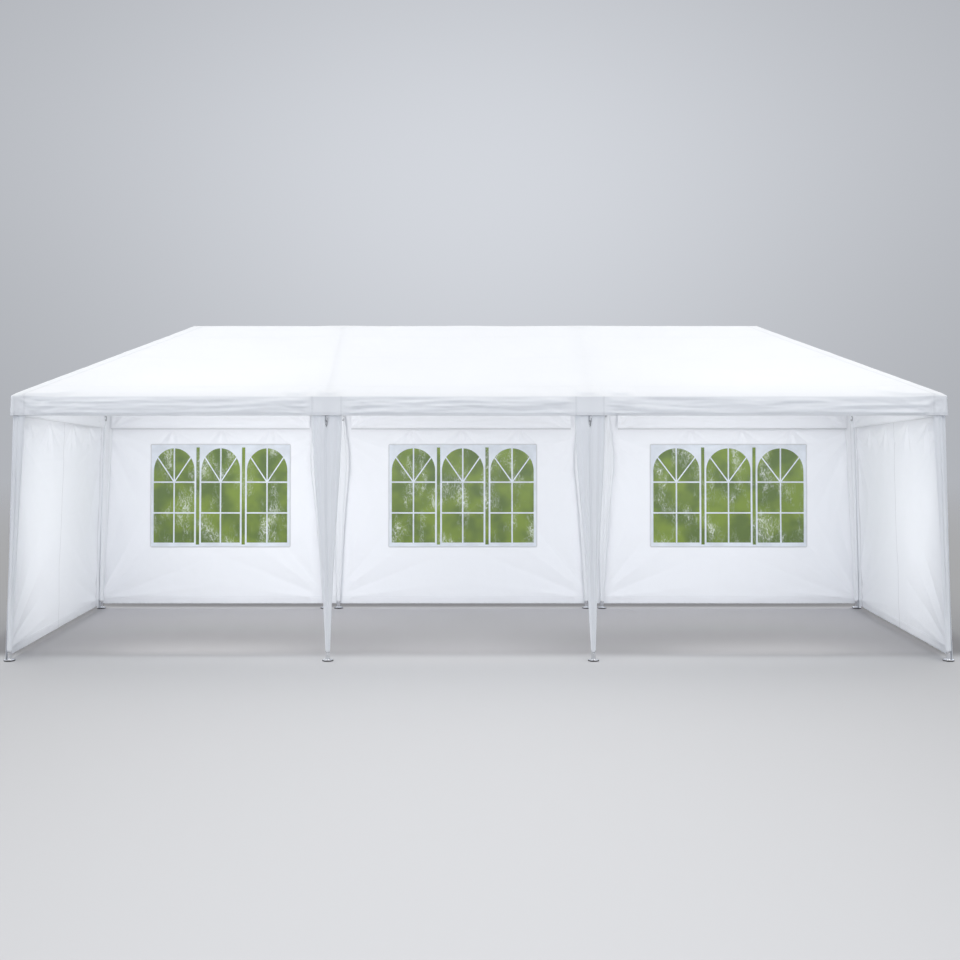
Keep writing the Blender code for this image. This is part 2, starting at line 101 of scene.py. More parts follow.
class Wire:
    """One output of a shader node: arithmetic on it adds Math nodes, node() adds any other."""

    def __init__(self, tree, output=None):
        self.tree = tree
        self.output = output

    def feed(self, socket, value):
        if isinstance(value, Wire):
            self.tree.links.new(value.output, socket)
        else:
            socket.default_value = value

    def node(self, kind, settings=None, inputs=None, output=0):
        """A node of that kind, its settings set first, then its sockets' values or links."""
        added = self.tree.nodes.new(kind)
        for name, value in (settings or {}).items():
            setattr(added, name, value)
        for name, value in (inputs or {}).items():
            self.feed(added.inputs[name], value)
        return Wire(self.tree, added.outputs[output])

    def other(self, output):
        """Another output of the same node."""
        return Wire(self.tree, self.output.node.outputs[output])

    def math(self, operation, *values):
        return self.node("ShaderNodeMath", {"operation": operation}, dict(enumerate(values)))

    def __add__(self, value):
        return self.math("ADD", self, value)

    def __radd__(self, value):
        return self.math("ADD", value, self)

    def __sub__(self, value):
        return self.math("SUBTRACT", self, value)

    def __rsub__(self, value):
        return self.math("SUBTRACT", value, self)

    def __mul__(self, value):
        return self.math("MULTIPLY", self, value)

    def __rmul__(self, value):
        return self.math("MULTIPLY", value, self)

    def __truediv__(self, value):
        return self.math("DIVIDE", self, value)

    def __pow__(self, value):
        return self.math("POWER", self, value)

    def bell(self, middle, width):
        """1 at the middle, falling off smoothly over the width on both sides."""
        return self.math("EXPONENT", -1.0 * ((self - middle) / width) ** 2.0)

    def step(self, low, high):
        """0 up to low, 1 from high on, smooth between."""
        settings = {"interpolation_type": "SMOOTHSTEP"}
        inputs = {"Value": self, "From Min": low, "From Max": high}
        return self.node("ShaderNodeMapRange", settings, inputs)

    def mix(self, first, second):
        """The first colour where this is 0 and the second where it is 1."""
        return self.node("ShaderNodeMix", {"data_type": "RGBA"}, {0: self, 6: first, 7: second}, 2)

    def mottle(self, place, scale, detail):
        """Noise from 0 to 1 over that place."""
        inputs = {"Vector": place, "Scale": scale, "Detail": detail}
        return self.node("ShaderNodeTexNoise", inputs=inputs)

    def split(self, vector):
        """The X of a vector, with its Y and Z as other outputs."""
        return self.node("ShaderNodeSeparateXYZ", inputs={0: vector})


def toned(colour, share=1.0):
    """A colour times a share, as the four numbers of a colour socket."""
    return (*(share * part for part in colour), 1.0)


def new_material(name, **sockets):
    """A Principled material with those steady values, socket names written with _ for spaces."""
    material = bpy.data.materials.new(name)
    material.use_nodes = True
    shader = material.node_tree.nodes["Principled BSDF"]
    for socket, value in sockets.items():
        shader.inputs[socket.replace("_", " ")].default_value = value
    return material, Wire(material.node_tree, shader.outputs[0])


def show_mixed(material, share, first, second):
    """The material's surface: the first shader, and the second by that share."""
    mixed = first.node("ShaderNodeMixShader", inputs={0: share, 1: first, 2: second})
    mixed.feed(material.node_tree.nodes["Material Output"].inputs["Surface"], mixed)


floor_material, floor_shader = new_material("studio_floor", Roughness=0.9, Specular_IOR_Level=0.1)
floor_place = floor_shader.node("ShaderNodeTexCoord", output="Object")
floor_x = floor_shader.split(floor_place)
floor_y = floor_x.other("Y")
floor_length = {"operation": "LENGTH"}
floor_reach = floor_x.node("ShaderNodeVectorMath", floor_length, {0: floor_place}, "Value")
side_x = floor_x.math("ABSOLUTE", floor_x)
# The floor's colour is painted with light and shade: a painted pool of light at the front middle
# that dims to the sides, painted light along the tent's front edge, painted shade under the tent,
# deeper where the bay panels light it, and a painted shadow just outside its walls.
painted_pool = floor_x.bell(0.0, 6.0) * (1.0 - floor_y.step(*FLOOR_TURN))
floor_painted_tone = painted_pool.mix(toned(FLOOR_SIDES), toned(FLOOR_PAINTED_POOL))
painted_edge_light = floor_y.bell(-1.40, 0.36) * side_x.bell(0.0, 3.2)
floor_painted_tone = painted_edge_light.mix(floor_painted_tone, toned(FLOOR_PAINTED_EDGE_LIGHT))
painted_bay_shade = (side_x.bell(2.7, 1.6) * 0.6 + 0.4) * floor_y.bell(-0.5, 1.0)
painted_tent_shade = painted_bay_shade.mix(toned(FLOOR_PAINTED_TENT_SHADE), toned(FLOOR_PAINTED_BAY_SHADE))
painted_wall_shadow = side_x.math("MAXIMUM", side_x.step(4.40, 4.65), floor_y.step(1.45, 1.72))
painted_tent_shade = painted_wall_shadow.mix(painted_tent_shade, toned(FLOOR_PAINTED_WALL_SHADOW))
painted_shade_reach = (1.0 - side_x.step(4.95, 5.25)) * (1.0 - floor_y.step(2.6, 3.2))
floor_painted_tone = (floor_y.step(*FLOOR_TURN) * painted_shade_reach).mix(floor_painted_tone, painted_tent_shade)
floor_shader.feed(floor_shader.output.node.inputs["Base Color"], floor_painted_tone)
see_through = floor_shader.node("ShaderNodeBsdfTransparent")
show_mixed(floor_material, floor_reach.step(*FLOOR_FADE), floor_shader, see_through)
floor_mesh = bpy.data.meshes.new("studio_floor")
floor_shape = bmesh.new()
bmesh.ops.create_circle(floor_shape, cap_ends=True, segments=96, radius=FLOOR_RADIUS)
floor_shape.to_mesh(floor_mesh)
floor_shape.free()
floor_mesh.materials.append(floor_material)
floor = bpy.data.objects.new("studio_floor", floor_mesh)
bpy.context.scene.collection.objects.link(floor)

world = bpy.data.worlds.new("studio")
bpy.context.scene.world = world
world.use_nodes = True
sky = Wire(world.node_tree, world.node_tree.nodes["Background"].outputs[0])
sky_x = sky.split(sky.node("ShaderNodeTexCoord", output="Generated"))
sky_y, sky_z = sky_x.other("Y"), sky_x.other("Z")
sky_height = sky.math("MAXIMUM", sky_z, 0.0)
backdrop = sky_x.bell(0.0, 0.342) * sky_height.bell(0.15, 0.284) * BACKDROP_GLOW
backdrop = backdrop + sky_height.bell(0.20, 0.13) * BACKDROP_RISE + BACKDROP_EDGE
sky_rear = sky.math("MAXIMUM", sky_y, 0.0)
sky_front = sky.math("MAXIMUM", -1.0 * sky_y, 0.0) * (sky_height * 0.6 + 0.4)
lighting = sky_height * OVERHEAD_LIGHT + sky_rear * REAR_LIGHT + sky_front * FRONT_LIGHT
lighting = lighting + ROUND_LIGHT + sky_x * sky_x * (SIDE_LIGHT - sky_x * SIDE_TURN)
light_tint = sky_height.step(0.1, 0.7).mix(ROUND_TINT, OVERHEAD_TINT)
seen = sky.node("ShaderNodeLightPath", output="Is Camera Ray")
mirrored = seen.other("Is Glossy Ray")
flags = FLAG_TONE + 1.4 * sky_x.bell(0.45, 0.18) + sky_x.bell(-0.5, 0.15)
flags = flags - 0.45 * sky_x.bell(0.97, 0.12)
lighting = lighting * (1.0 + mirrored * (flags - 1.0))
sky_strength = seen * backdrop + (1.0 - seen) * lighting
sky.feed(sky.output.node.inputs["Color"], seen.mix(light_tint, BACKDROP_TINT))
sky.feed(sky.output.node.inputs["Strength"], sky_strength)

for number, (across, watts) in enumerate(zip(INNER_ACROSS, INNER_WATTS)):
    panel = bpy.data.lights.new(f"inner_light_{number}", "AREA")
    panel.shape = "RECTANGLE"
    panel.size, panel.size_y = INNER_SIZE
    panel.energy = watts
    panel.color = INNER_COLOUR
    inner_light = bpy.data.objects.new(panel.name, panel)
    inner_light.location = (across, INNER_FRONT, INNER_HEIGHT)
    inner_light.rotation_euler = (math.radians(INNER_TILT), 0, 0)
    inner_light.visible_camera = False
    inner_light.visible_glossy = False
    bpy.context.scene.collection.objects.link(inner_light)


# Canopy: one cover of coated woven polyethylene, sewn from strips, hauled over the hips and
# the ridge and down over the eave rails, with a hemmed valance that hangs free all round.
ROOF_LOW, ROOF_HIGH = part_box("roof_front")
HALF_LENGTH = 4.5
HALF_DEPTH = 1.5
EAVE_Z = 2.57
RIDGE_Z = ROOF_HIGH.z
VALANCE_Z = ROOF_LOW.z
RIDGE_LEFT = -3.087
RIDGE_RIGHT = 3.011
CORNER_RADIUS = 0.028
EAVE_ROUND = 0.007
SHOULDER = 0.022
HIP_SEAM = 0.065
HEM_DEPTH = 0.022
HEM_GAP = 0.0022
LEG_PATCHES = ((-1.618, -1.324), (0.931, 1.210))
CORNER_PATCH = 0.115
FRONT_RAFTERS = (-1.475, 1.070)
REAR_RAFTERS = (-1.7975, 1.385)
ROOF_SAG = 0.026
ROOF_CREASE = 0.0016
VALANCE_WRINKLE = 0.023
CORNER_TURNS = (0.10, 0.28, 0.50, 0.75, 1.05, 1.32)
SEAM_TURNS = (1.62, 1.80, 2.02, 2.30)
PATCH_FOLDS = (
    (VALANCE_Z + 0.01, (1.66, 1.86, 2.12), 0.20),
    (EAVE_Z - 0.03, (0.45, 0.95, 1.35), 0.16),
)
CLOTH_TAPE = 0.0032
CRUMPLE = 0.0016
ROUGHNESS = 0.5
STITCH = 0.0045
THREAD_GREY = (0.62, 0.64, 0.68, 1.0)
VALANCE_V = 1.75
CORNER_OUT = 0.027
ROOF_WHITE = (0.90, 0.915, 0.94)


def noise(u, v, seed):
    """Smooth noise from -1 to 1: a random slope at each whole number, blended between them."""
    turns = np.random.default_rng(seed).uniform(0, 2 * math.pi, (64, 64))
    low_u, low_v = np.floor(u).astype(int), np.floor(v).astype(int)
    part_u, part_v = u - low_u, v - low_v

    def corner(a, b):
        turn = turns[(low_u + a) % 64, (low_v + b) % 64]
        return np.cos(turn) * (part_u - a) + np.sin(turn) * (part_v - b)

    ease_u = part_u**3 * (part_u * (part_u * 6 - 15) + 10)
    ease_v = part_v**3 * (part_v * (part_v * 6 - 15) + 10)
    low = corner(0, 0) * (1 - ease_u) + corner(1, 0) * ease_u
    high = corner(0, 1) * (1 - ease_u) + corner(1, 1) * ease_u
    return 1.5 * (low * (1 - ease_v) + high * ease_v)


def creases(u, v, seed, octaves=3):
    """Folded cloth from -1 to 1: noise turned up where it passes nought, at ever finer scale."""
    folds = [1 - 2 * np.abs(noise(u * 2**n, v * 2**n, seed + n)) for n in range(octaves)]
    return sum(fold / 2**n for n, fold in enumerate(folds)) / 2


def rise(x, low, high):
    """0 up to low, 1 from high on, smooth between."""
    t = np.clip((x - low) / (high - low), 0, 1)
    return t * t * (3 - 2 * t)


def fan(along, up, at, reach, count, turn, spread, seed):
    """Folds that spread from the point at: waves by angle, gone past the reach and the spread.

    They run towards turn, an angle from straight down, and none shows at the point itself.
    """
    away = np.hypot(along - at[0], up - at[1])
    angle = np.arctan2(along - at[0], at[1] - up) - turn
    angle = (angle + math.pi) % (2 * math.pi) - math.pi
    wobble = 0.35 * noise(away / reach * 2, angle * 2, seed)
    wave = 1 - 2 * np.abs(np.sin((angle + wobble) * count))
    near = away / reach
    return wave * 2.7 * near * np.exp(-2.2 * near) * np.exp(-((angle / spread) ** 4))


def spokes(along, up, at, turns, reach, width=0.085, way=1):
    """Crisp folds from the point at, one along each turn from straight down, up and down by turns.

    Over the distance r a fold stands r / reach * exp(1 - r / reach) high, and across the angle it
    falls off as exp(-|angle| / width). way is -1 for turns to the other side.
    """
    near = np.hypot(along - at[0], up - at[1]) / reach
    angle = np.arctan2(along - at[0], at[1] - up)
    total = np.zeros_like(near)
    for number, turn in enumerate(turns):
        off = np.abs((angle - way * turn + math.pi) % (2 * math.pi) - math.pi)
        total += (-1) ** number * np.exp(-off / width)
    return total * near * np.exp(1 - near)


def new_object(name, mesh, material, slot, *replaced, sharp=None):
    """The mesh as a smooth piece riding on the tent's one body, in place of the nodes replaced.

    sharp is the angle in degrees past which its edges stay crisp.
    """
    mesh.materials.append(material)
    mesh.shade_smooth()
    if sharp:
        mesh.set_sharp_from_angle(angle=math.radians(sharp))
    piece = bpy.data.objects.new(name, mesh)
    bpy.context.scene.collection.objects.link(piece)
    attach(piece, "root")
    if replaced:
        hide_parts(*replaced)
    return piece


def grid_mesh(name, points, flat, closed=False, keep=None, sewn=None):
    """Quads over a grid of points, rows by columns, with each point's place in the flat cut as UV.

    closed joins the last column to the first, keep picks the cells that are cloth, and sewn is
    each point's distance to the nearest slanting or framing seam, kept in a second UV map.
    """
    rows, columns = points.shape[:2]
    index = np.arange(rows * columns).reshape(rows, columns)
    after = np.roll(index, -1, axis=1)
    quads = np.stack([index[:-1], index[1:], after[1:], after[:-1]], axis=-1)
    if not closed:
        quads = quads[:, :-1]
    quads = quads[keep] if keep is not None else quads.reshape(-1, 4)
    mesh = bpy.data.meshes.new(name)
    mesh.from_pydata(points.reshape(-1, 3).tolist(), [], quads.reshape(-1, 4).tolist())
    away = np.stack([np.ones(points.shape[:2]) if sewn is None else sewn, points[..., 2]], axis=-1)
    for label, place in (("flat", flat), ("sewn", away)):
        corners = place.reshape(-1, 2)[quads.ravel()].astype(np.float32)
        mesh.uv_layers.new(name=label).data.foreach_set("uv", corners.ravel())
    return mesh


def welded(mesh):
    """The mesh with its doubled points merged and its unused ones dropped."""
    shape = bmesh.new()
    shape.from_mesh(mesh)
    bmesh.ops.remove_doubles(shape, verts=shape.verts, dist=0.00002)
    loose = [vertex for vertex in shape.verts if not vertex.link_faces]
    bmesh.ops.delete(shape, geom=loose, context="VERTS")
    shape.to_mesh(mesh)
    shape.free()
    return mesh


def cloth(name, colour, glow, seams, bands=()):
    """Coated woven polyethylene: tape weave, crumples, stitched seams, light let through.

    The weave is a product of two sines over the flat cut, one tape wide each. seams are the
    places on the flat cut's "X" or "Y", or the distances in "sewn", where a row of stitches pulls
    the cloth into a groove. bands are stretches from low to high whose colour is scaled by a tone:
    some are greyer where the cloth lies double, and some are painted shade or a painted highlight
    that stand in for how light falls on a hem, an edge or a gap.
    """
    material, shader = new_material(name, Roughness=ROUGHNESS, Specular_IOR_Level=0.4)
    principled = shader.output.node
    flat = shader.node("ShaderNodeUVMap", {"uv_map": "flat"})
    across = shader.split(flat)
    sewn = shader.split(shader.node("ShaderNodeUVMap", {"uv_map": "sewn"}))
    places = {"X": across, "Y": across.other("Y"), "sewn": sewn}
    turns = math.pi / CLOTH_TAPE
    weave = across.math("SINE", places["X"] * turns) * across.math("SINE", places["Y"] * turns)
    clouds = shader.mottle(flat, 1.3, 3.0)
    shade = clouds.mix(toned(colour, 0.965), toned(colour))
    crumple = 1.0 - across.math("ABSOLUTE", shader.mottle(flat, 7.0, 4.0) * 2.0 - 1.0)
    height = weave * 0.0003 + crumple * CRUMPLE
    # Each band's tone scales the colour; on the walls some bands are painted shade or a painted
    # highlight.
    for axis, low, high, tone in bands:
        line = places[axis]
        inside = line.step(low - 0.002, low + 0.002) * (1.0 - line.step(high - 0.002, high + 0.002))
        shade = inside.mix(shade, toned(colour, tone))
    for axis, at in seams:
        line, other = places[axis], places["X"] if axis == "Y" else places["Y"]
        stitch = across.math("SINE", other * (math.pi / STITCH)).step(-0.35, 0.0)
        thread = line.bell(at, 0.0012) * stitch
        shade = (thread * 0.8).mix(shade, THREAD_GREY)
        pucker = across.math("SINE", other * (math.pi / (3.0 * STITCH))) * 0.3 + 1.0
        height = height + thread * 0.0009 - line.bell(at, 0.006) * pucker * 0.0022
    bump = {"Strength": 1.0, "Distance": 1.0, "Height": height}
    shader.feed(principled.inputs["Base Color"], shade)
    shader.feed(principled.inputs["Roughness"], clouds * 0.12 + (ROUGHNESS - 0.06))
    shader.feed(principled.inputs["Normal"], shader.node("ShaderNodeBump", inputs=bump))
    through = shader.node("ShaderNodeBsdfTranslucent", inputs={"Color": toned(colour)})
    show_mixed(material, glow, shader, through)
    return material


def eave_outline():
    """The eave in plan, anticlockwise from the front left: points, outward ways and ridge ends.

    Four straights with a quarter circle at each corner. The ridge point that a front or rear
    point is drawn up to slides along the ridge with it; the ends are drawn up to the ridge ends.
    """
    half_x, half_y = HALF_LENGTH - CORNER_RADIUS, HALF_DEPTH - CORNER_RADIUS
    long_side = np.linspace(-half_x, half_x, 372)
    short_side = np.linspace(-half_y, half_y, 124)
    quarter = np.linspace(0, math.pi / 2, 8)[1:-1]
    stretches = [
        (long_side, -HALF_DEPTH, -math.pi / 2, (half_x, -half_y)),
        (HALF_LENGTH, short_side, 0.0, (half_x, half_y)),
        (-long_side, HALF_DEPTH, math.pi / 2, (-half_x, half_y)),
        (-HALF_LENGTH, -short_side, math.pi, (-half_x, -half_y)),
    ]
    plan, ways = [], []
    for x, y, way, corner in stretches:
        x, y = np.broadcast_arrays(np.asarray(x, float), np.asarray(y, float))
        turn = way + quarter
        plan.append(np.column_stack([x, y]))
        plan.append(corner + CORNER_RADIUS * np.column_stack([np.cos(turn), np.sin(turn)]))
        ways += [np.full(len(x), way), turn]
    plan, ways = np.vstack(plan), np.concatenate(ways)
    share = np.clip((plan[:, 0] + half_x) / (2 * half_x), 0, 1)
    ridge = RIDGE_LEFT + (RIDGE_RIGHT - RIDGE_LEFT) * share
    outward = np.column_stack([np.cos(ways), np.sin(ways)])
    return plan, outward, ridge


def roof_height(x, y):
    """How far the cloth lies above or below its flat slope: slack between the tubes, packing folds.

    Across each bay the slack is a half sine, nought on hips and rafters, and it is nought at the
    ridge and the eave too. The cloth was packed folded, which leaves creases along the slope.
    """
    down = np.abs(y) / HALF_DEPTH
    hip_left = RIDGE_LEFT + (-HALF_LENGTH - RIDGE_LEFT) * down
    hip_right = RIDGE_RIGHT + (HALF_LENGTH - RIDGE_RIGHT) * down
    rafters = [
        np.where(y < 0, front, front + (rear - front) * down)
        for front, rear in zip(FRONT_RAFTERS, REAR_RAFTERS)
    ]
    lines = [hip_left, *rafters, hip_right]
    across = np.zeros_like(x)
    for low, high in zip(lines[:-1], lines[1:]):
        inside = (x >= low) & (x <= high)
        part = (x - low) / np.maximum(high - low, 1e-6)
        across = np.where(inside, np.sin(math.pi * np.clip(part, 0, 1)) ** 0.8, across)
    for ridge_x, sign in ((RIDGE_LEFT, -1), (RIDGE_RIGHT, 1)):
        run = HALF_LENGTH - abs(ridge_x)
        out = np.clip((sign * x - abs(ridge_x)) / run, 0, 1)
        share = np.clip(1 - down / np.maximum(out, 1e-6), 0, 1)
        end_across = np.sin(math.pi / 2 * share) * out * (1 - out) * 4
        across = np.where(sign * x > abs(ridge_x) + run * down, end_across * 0.8, across)
        down = np.where(sign * x > abs(ridge_x) + run * down, 0.5, down)
    slack = across * 4 * down * (1 - down)
    height = -ROOF_SAG * slack
    height += ROOF_CREASE * creases(x * 0.9, y * 3.5, 11) * (0.3 + slack)
    height += 0.9 * ROOF_CREASE * noise(x * 2.5 + y, y * 9 + x * 0.4, 17)
    for number, fold in enumerate((0.21, 0.41, 0.62, 0.82)):
        sign = 1 if number % 2 else -1
        height += sign * 0.0022 * np.exp(-np.abs(np.abs(y) / HALF_DEPTH - fold) / 0.012)
    for spot_x in (-0.15, *FRONT_RAFTERS):
        height += 0.004 * np.exp(-np.hypot((x - spot_x) / 0.22, y / 0.10) ** 2)
        height += 0.004 * fan(x, -np.abs(y), (spot_x, 0.0), 0.55, 7, 0.0, 1.35, 23)
    return height


def valance_wrinkle(along, z, patches, reach, seed):
    """How far the valance stands out: long level wrinkles, flat on its patches and at its hem."""
    bend = z + 0.018 * noise(along * 1.3, z * 0, seed)
    wave = creases(along * 0.75, bend * 13, seed, 2)
    wave += 0.55 * creases(along * 1.9 + bend * 4, bend * 26, seed + 5, 2)
    free = np.ones_like(along)
    for low, high in patches:
        inside = np.minimum(along - low, high - along)
        free *= 1 - rise(inside, -0.10, 0.0)
    hem = rise(z, VALANCE_Z + 0.002, VALANCE_Z + 0.045)
    top = 1 - 0.75 * rise(z, EAVE_Z - SHOULDER - 0.05, EAVE_Z - SHOULDER)
    out = VALANCE_WRINKLE * wave * free * (0.25 + 0.75 * hem) * top
    for low, high in patches:
        for edge, way in ((low, -1), (high, 1)):
            if abs(edge) < reach - 0.2:
                beyond = 0.005 * rise(way * (along - edge), 0, 0.01)
                for at_z, turns, far in PATCH_FOLDS:
                    out += spokes(along, z, (edge, at_z), turns, far, 0.05, way) * beyond
    for end, way in ((-reach, 1), (reach, -1)):
        out += 0.0055 * fan(along, z, (end, EAVE_Z - 0.01), 0.30, 8, way * 0.9, 0.9, seed)
        out += 0.009 * spokes(along, z, (end, EAVE_Z), CORNER_TURNS, 0.16, 0.07, way)
        seam = end + way * CORNER_PATCH
        beyond = 0.007 * rise(way * (along - seam), 0, 0.01)
        out += spokes(along, z, (seam, VALANCE_Z + 0.012), SEAM_TURNS, 0.24, 0.05, way) * beyond
    return out


def make_canopy():
    """Rows from the ridge down the slope, round the eave, down the valance and up inside its hem.

    A point is the ridge point and the eave point mixed by t, and past the rail it falls steeper by
    the shoulder; round the eave it follows a parabola from the slope to the valance, and below it
    hangs straight down.
    """
    plan, outward, ridge = eave_outline()
    slope = np.append(np.linspace(0, 0.968, 52), np.linspace(0.974, 1, 6))
    bend = np.linspace(0, 1, 8)[1:]
    hang = np.linspace(0, 1, 17)[1:]
    hem = np.array([0.0, 0.5, 1.0])
    ridge_point = np.column_stack([ridge, np.zeros(len(ridge)), np.full(len(ridge), RIDGE_Z)])
    eave_point = np.column_stack([plan, np.full(len(plan), EAVE_Z)])
    run = np.linalg.norm(eave_point - ridge_point, axis=1)
    last = 1 - EAVE_ROUND / run
    to_corner = np.hypot(HALF_LENGTH - np.abs(plan[:, 0]), HALF_DEPTH - np.abs(plan[:, 1]))
    shoulder = SHOULDER * (0.45 + 0.55 * rise(to_corner, 0.04, 0.35))
    shoulder_run = 0.022 + 0.020 * rise(to_corner, 0.04, 0.35)
    free = rise(to_corner, 0.35, 0.7)
    for rafter_x in (*FRONT_RAFTERS, *REAR_RAFTERS):
        free *= rise(np.abs(plan[:, 0] - rafter_x), 0.045, 0.18)
    shoulder_run += 0.20 * free
    rows = []
    for t in slope:
        row = ridge_point + (eave_point - ridge_point) * (last * t)[:, None]
        row[:, 2] -= shoulder * rise(run * last * t, run - shoulder_run, run - EAVE_ROUND)
        rows.append(row)
    start = rows[-1]
    eave_point[:, 2] -= shoulder
    below = eave_point - [0, 0, EAVE_ROUND]
    for t in bend:
        rows.append((1 - t) ** 2 * start + 2 * t * (1 - t) * eave_point + t * t * below)
    for t in hang:
        rows.append(below + (VALANCE_Z - below[:, 2:]) * t * np.array([0, 0, 1.0]))
    outward = np.column_stack([outward, np.zeros(len(outward))])
    turned_in = rows[-1] - outward * HEM_GAP
    rows += [turned_in + [0, 0, 0.0006 + HEM_DEPTH * t] for t in hem]
    points = np.stack(rows)
    x, y, z = points[..., 0], points[..., 1], points[..., 2]

    on_slope = 1 - rise(EAVE_Z + 0.03 - z, 0.0, 0.03)
    lift = roof_height(x, y) * on_slope
    front_rear = np.abs(outward[:, 1]) > 0.7
    along = np.where(front_rear, x, y)
    reach = np.where(front_rear, HALF_LENGTH, HALF_DEPTH)
    out = np.zeros_like(x)
    sides = (
        (plan[:, 1] < -HALF_DEPTH + CORNER_RADIUS, HALF_LENGTH, LEG_PATCHES, 31),
        (plan[:, 0] > HALF_LENGTH - CORNER_RADIUS, HALF_DEPTH, (), 47),
        (plan[:, 1] > HALF_DEPTH - CORNER_RADIUS, HALF_LENGTH, LEG_PATCHES, 59),
        (plan[:, 0] < -HALF_LENGTH + CORNER_RADIUS, HALF_DEPTH, (), 71),
    )
    for here, length, patches, seed in sides:
        ends = ((-length, -length + CORNER_PATCH), (length - CORNER_PATCH, length))
        wrinkle = valance_wrinkle(along, z, (*patches, *ends), length, seed)
        near_corner = rise(length - np.abs(along), 0.0, 0.025)
        out = np.where(here[None, :], wrinkle * near_corner, out)
    hanging = rise(EAVE_Z - SHOULDER - z, -0.002, 0.03)
    flare = 0.005 * rise(VALANCE_Z + 0.022 - z, 0.0, 0.022)
    flare[len(slope) + len(bend) + len(hang):] = 0.005
    out = np.clip(out, -0.016, 0.022) * hanging + flare
    out += 0.0035 * noise(along * 2.3, reach + 0 * along, 83) * rise(EAVE_Z + 0.02 - z, 0.0, 0.02)
    corner = rise(np.abs(x), HALF_LENGTH - 0.09, HALF_LENGTH)
    corner = corner * rise(np.abs(y), HALF_DEPTH - 0.09, HALF_DEPTH)
    out += CORNER_OUT * corner * rise(EAVE_Z - SHOULDER - z, -0.03, 0.0)
    points = points + out[..., None] * outward
    points[..., 2] += lift
    walked = np.concatenate([[0], np.cumsum(np.linalg.norm(np.diff(plan, axis=0), axis=1))])
    fallen = np.append(0, np.cumsum(np.linalg.norm(np.diff(points[:, 0], axis=0), axis=1)))
    fallen = np.where(z < start[:, 2] - 0.001, VALANCE_V + EAVE_Z - z, fallen[:, None])
    flat = np.stack(np.broadcast_arrays(walked[None, :], fallen), axis=-1).copy()
    flat[: len(slope), :, 0] = x[: len(slope)]
    hip = np.full(x.shape, 9.0)
    for ridge_x, side_x in ((RIDGE_LEFT, -HALF_LENGTH), (RIDGE_RIGHT, HALF_LENGTH)):
        way_x, way_y = side_x - ridge_x, HALF_DEPTH
        off = np.abs((x - ridge_x) * way_y - np.abs(y) * way_x) / math.hypot(way_x, way_y)
        hip = np.minimum(hip, off)
    patch = np.abs(along) - (reach - CORNER_PATCH)
    for low, high in LEG_PATCHES:
        inside = np.minimum(along - low, high - along)
        patch = np.where(front_rear, np.maximum(patch, inside), patch)
    sewn = np.where(np.arange(len(points))[:, None] < len(slope), hip - HIP_SEAM, patch)
    return welded(grid_mesh("canopy", points, flat, closed=True, sewn=sewn))


hem_v = VALANCE_V + EAVE_Z - VALANCE_Z - HEM_DEPTH
roof_seams = (("Y", hem_v), ("Y", 0.35), ("Y", 1.03), ("sewn", 0.0), ("sewn", 0.012))
roof_bands = (("sewn", 0.0, 0.012, 0.94),)
roof_cloth = cloth("roof_cloth", ROOF_WHITE, glow=0.16, seams=roof_seams, bands=roof_bands)
roofs = ("roof_front", "roof_rear", "roof_left", "roof_right")
carried_by = ["ridge_rail", "hip_front_left", "hip_front_right"]
carried_by += ["eave_rail_front", "eave_rail_rear"]
canopy = new_object("canopy", make_canopy(), roof_cloth, "roof_cloth", *roofs)


# Frame: white painted steel tubes pushed into grey galvanised joints, one at each corner, over
# each inner leg and along the ridge; the joints' arms lean with the legs and the slopes.
TUBE_RADIUS = 0.019
TUBE_BEVEL = 0.0012
TUBE_PUSHED_IN = 0.03
SLEEVE_RADIUS = 0.022
LEG_SLEEVE_RADIUS = SLEEVE_RADIUS - 0.0003
RAIL_INSET = 0.045
CORNER_ARM = 0.16
TEE_ARM = 0.14
SLOPE_ARM = 0.14
DOWN_ARM = 0.24
CLOTH_REST = 0.0043
RIDGE_REST = 0.0290
WALL_TOP_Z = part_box("wall_rear_left")[1].z
RAIL_Z = WALL_TOP_Z - CLOTH_REST - SLEEVE_RADIUS
TOP_X = HALF_LENGTH - RAIL_INSET
TOP_Y = HALF_DEPTH - RAIL_INSET
RIDGE_AXIS_Z = RIDGE_Z - RIDGE_REST
SLOPE = (RIDGE_Z - EAVE_Z) / HALF_DEPTH
LEGS = sorted(name[4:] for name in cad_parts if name.startswith("leg_"))
SWAGE_PROFILE = [(0, 0), (0, 0.0185), (0.02, 0.0185), (0.035, TUBE_RADIUS)]
BUTTON_PROFILE = [(0, 0), (0, 0.0042), (0.003, 0.0042), (0.005, 0)]
BUTTON_PLACE = (0, -0.0180, -0.12)
PAINT_WHITE = (0.80, 0.81, 0.83)
ZINC_GREY = (0.60, 0.61, 0.63)


def turned(base, top, profile, sides=24):
    """Points of a turned shape: rings about the line from base to top.

    profile is a list of (distance along the line, radius), with nought as its first and last
    radius, so that both ends close in a pole.
    """
    base, top = np.array(base, float), np.array(top, float)
    along = (top - base) / np.linalg.norm(top - base)
    side = np.cross(along, (0, 1, 0) if abs(along[1]) < 0.9 else (1, 0, 0))
    side /= np.linalg.norm(side)
    angles = np.linspace(0, 2 * math.pi, sides, endpoint=False)[:, None]
    around = np.cos(angles) * side - np.sin(angles) * np.cross(along, side)
    steps = np.array(profile, float)
    return base + steps[:, :1, None] * along + steps[:, 1:, None] * around


def joined(name, parts):
    """Several grids of turned shapes as one mesh; each has its own poles and stays closed."""
    shape = bmesh.new()
    for part in parts:
        one = welded(grid_mesh(name, part, np.zeros((*part.shape[:2], 2)), closed=True))
        shape.from_mesh(one)
        bpy.data.meshes.remove(one)
    mesh = bpy.data.meshes.new(name)
    shape.to_mesh(mesh)
    shape.free()
    return mesh


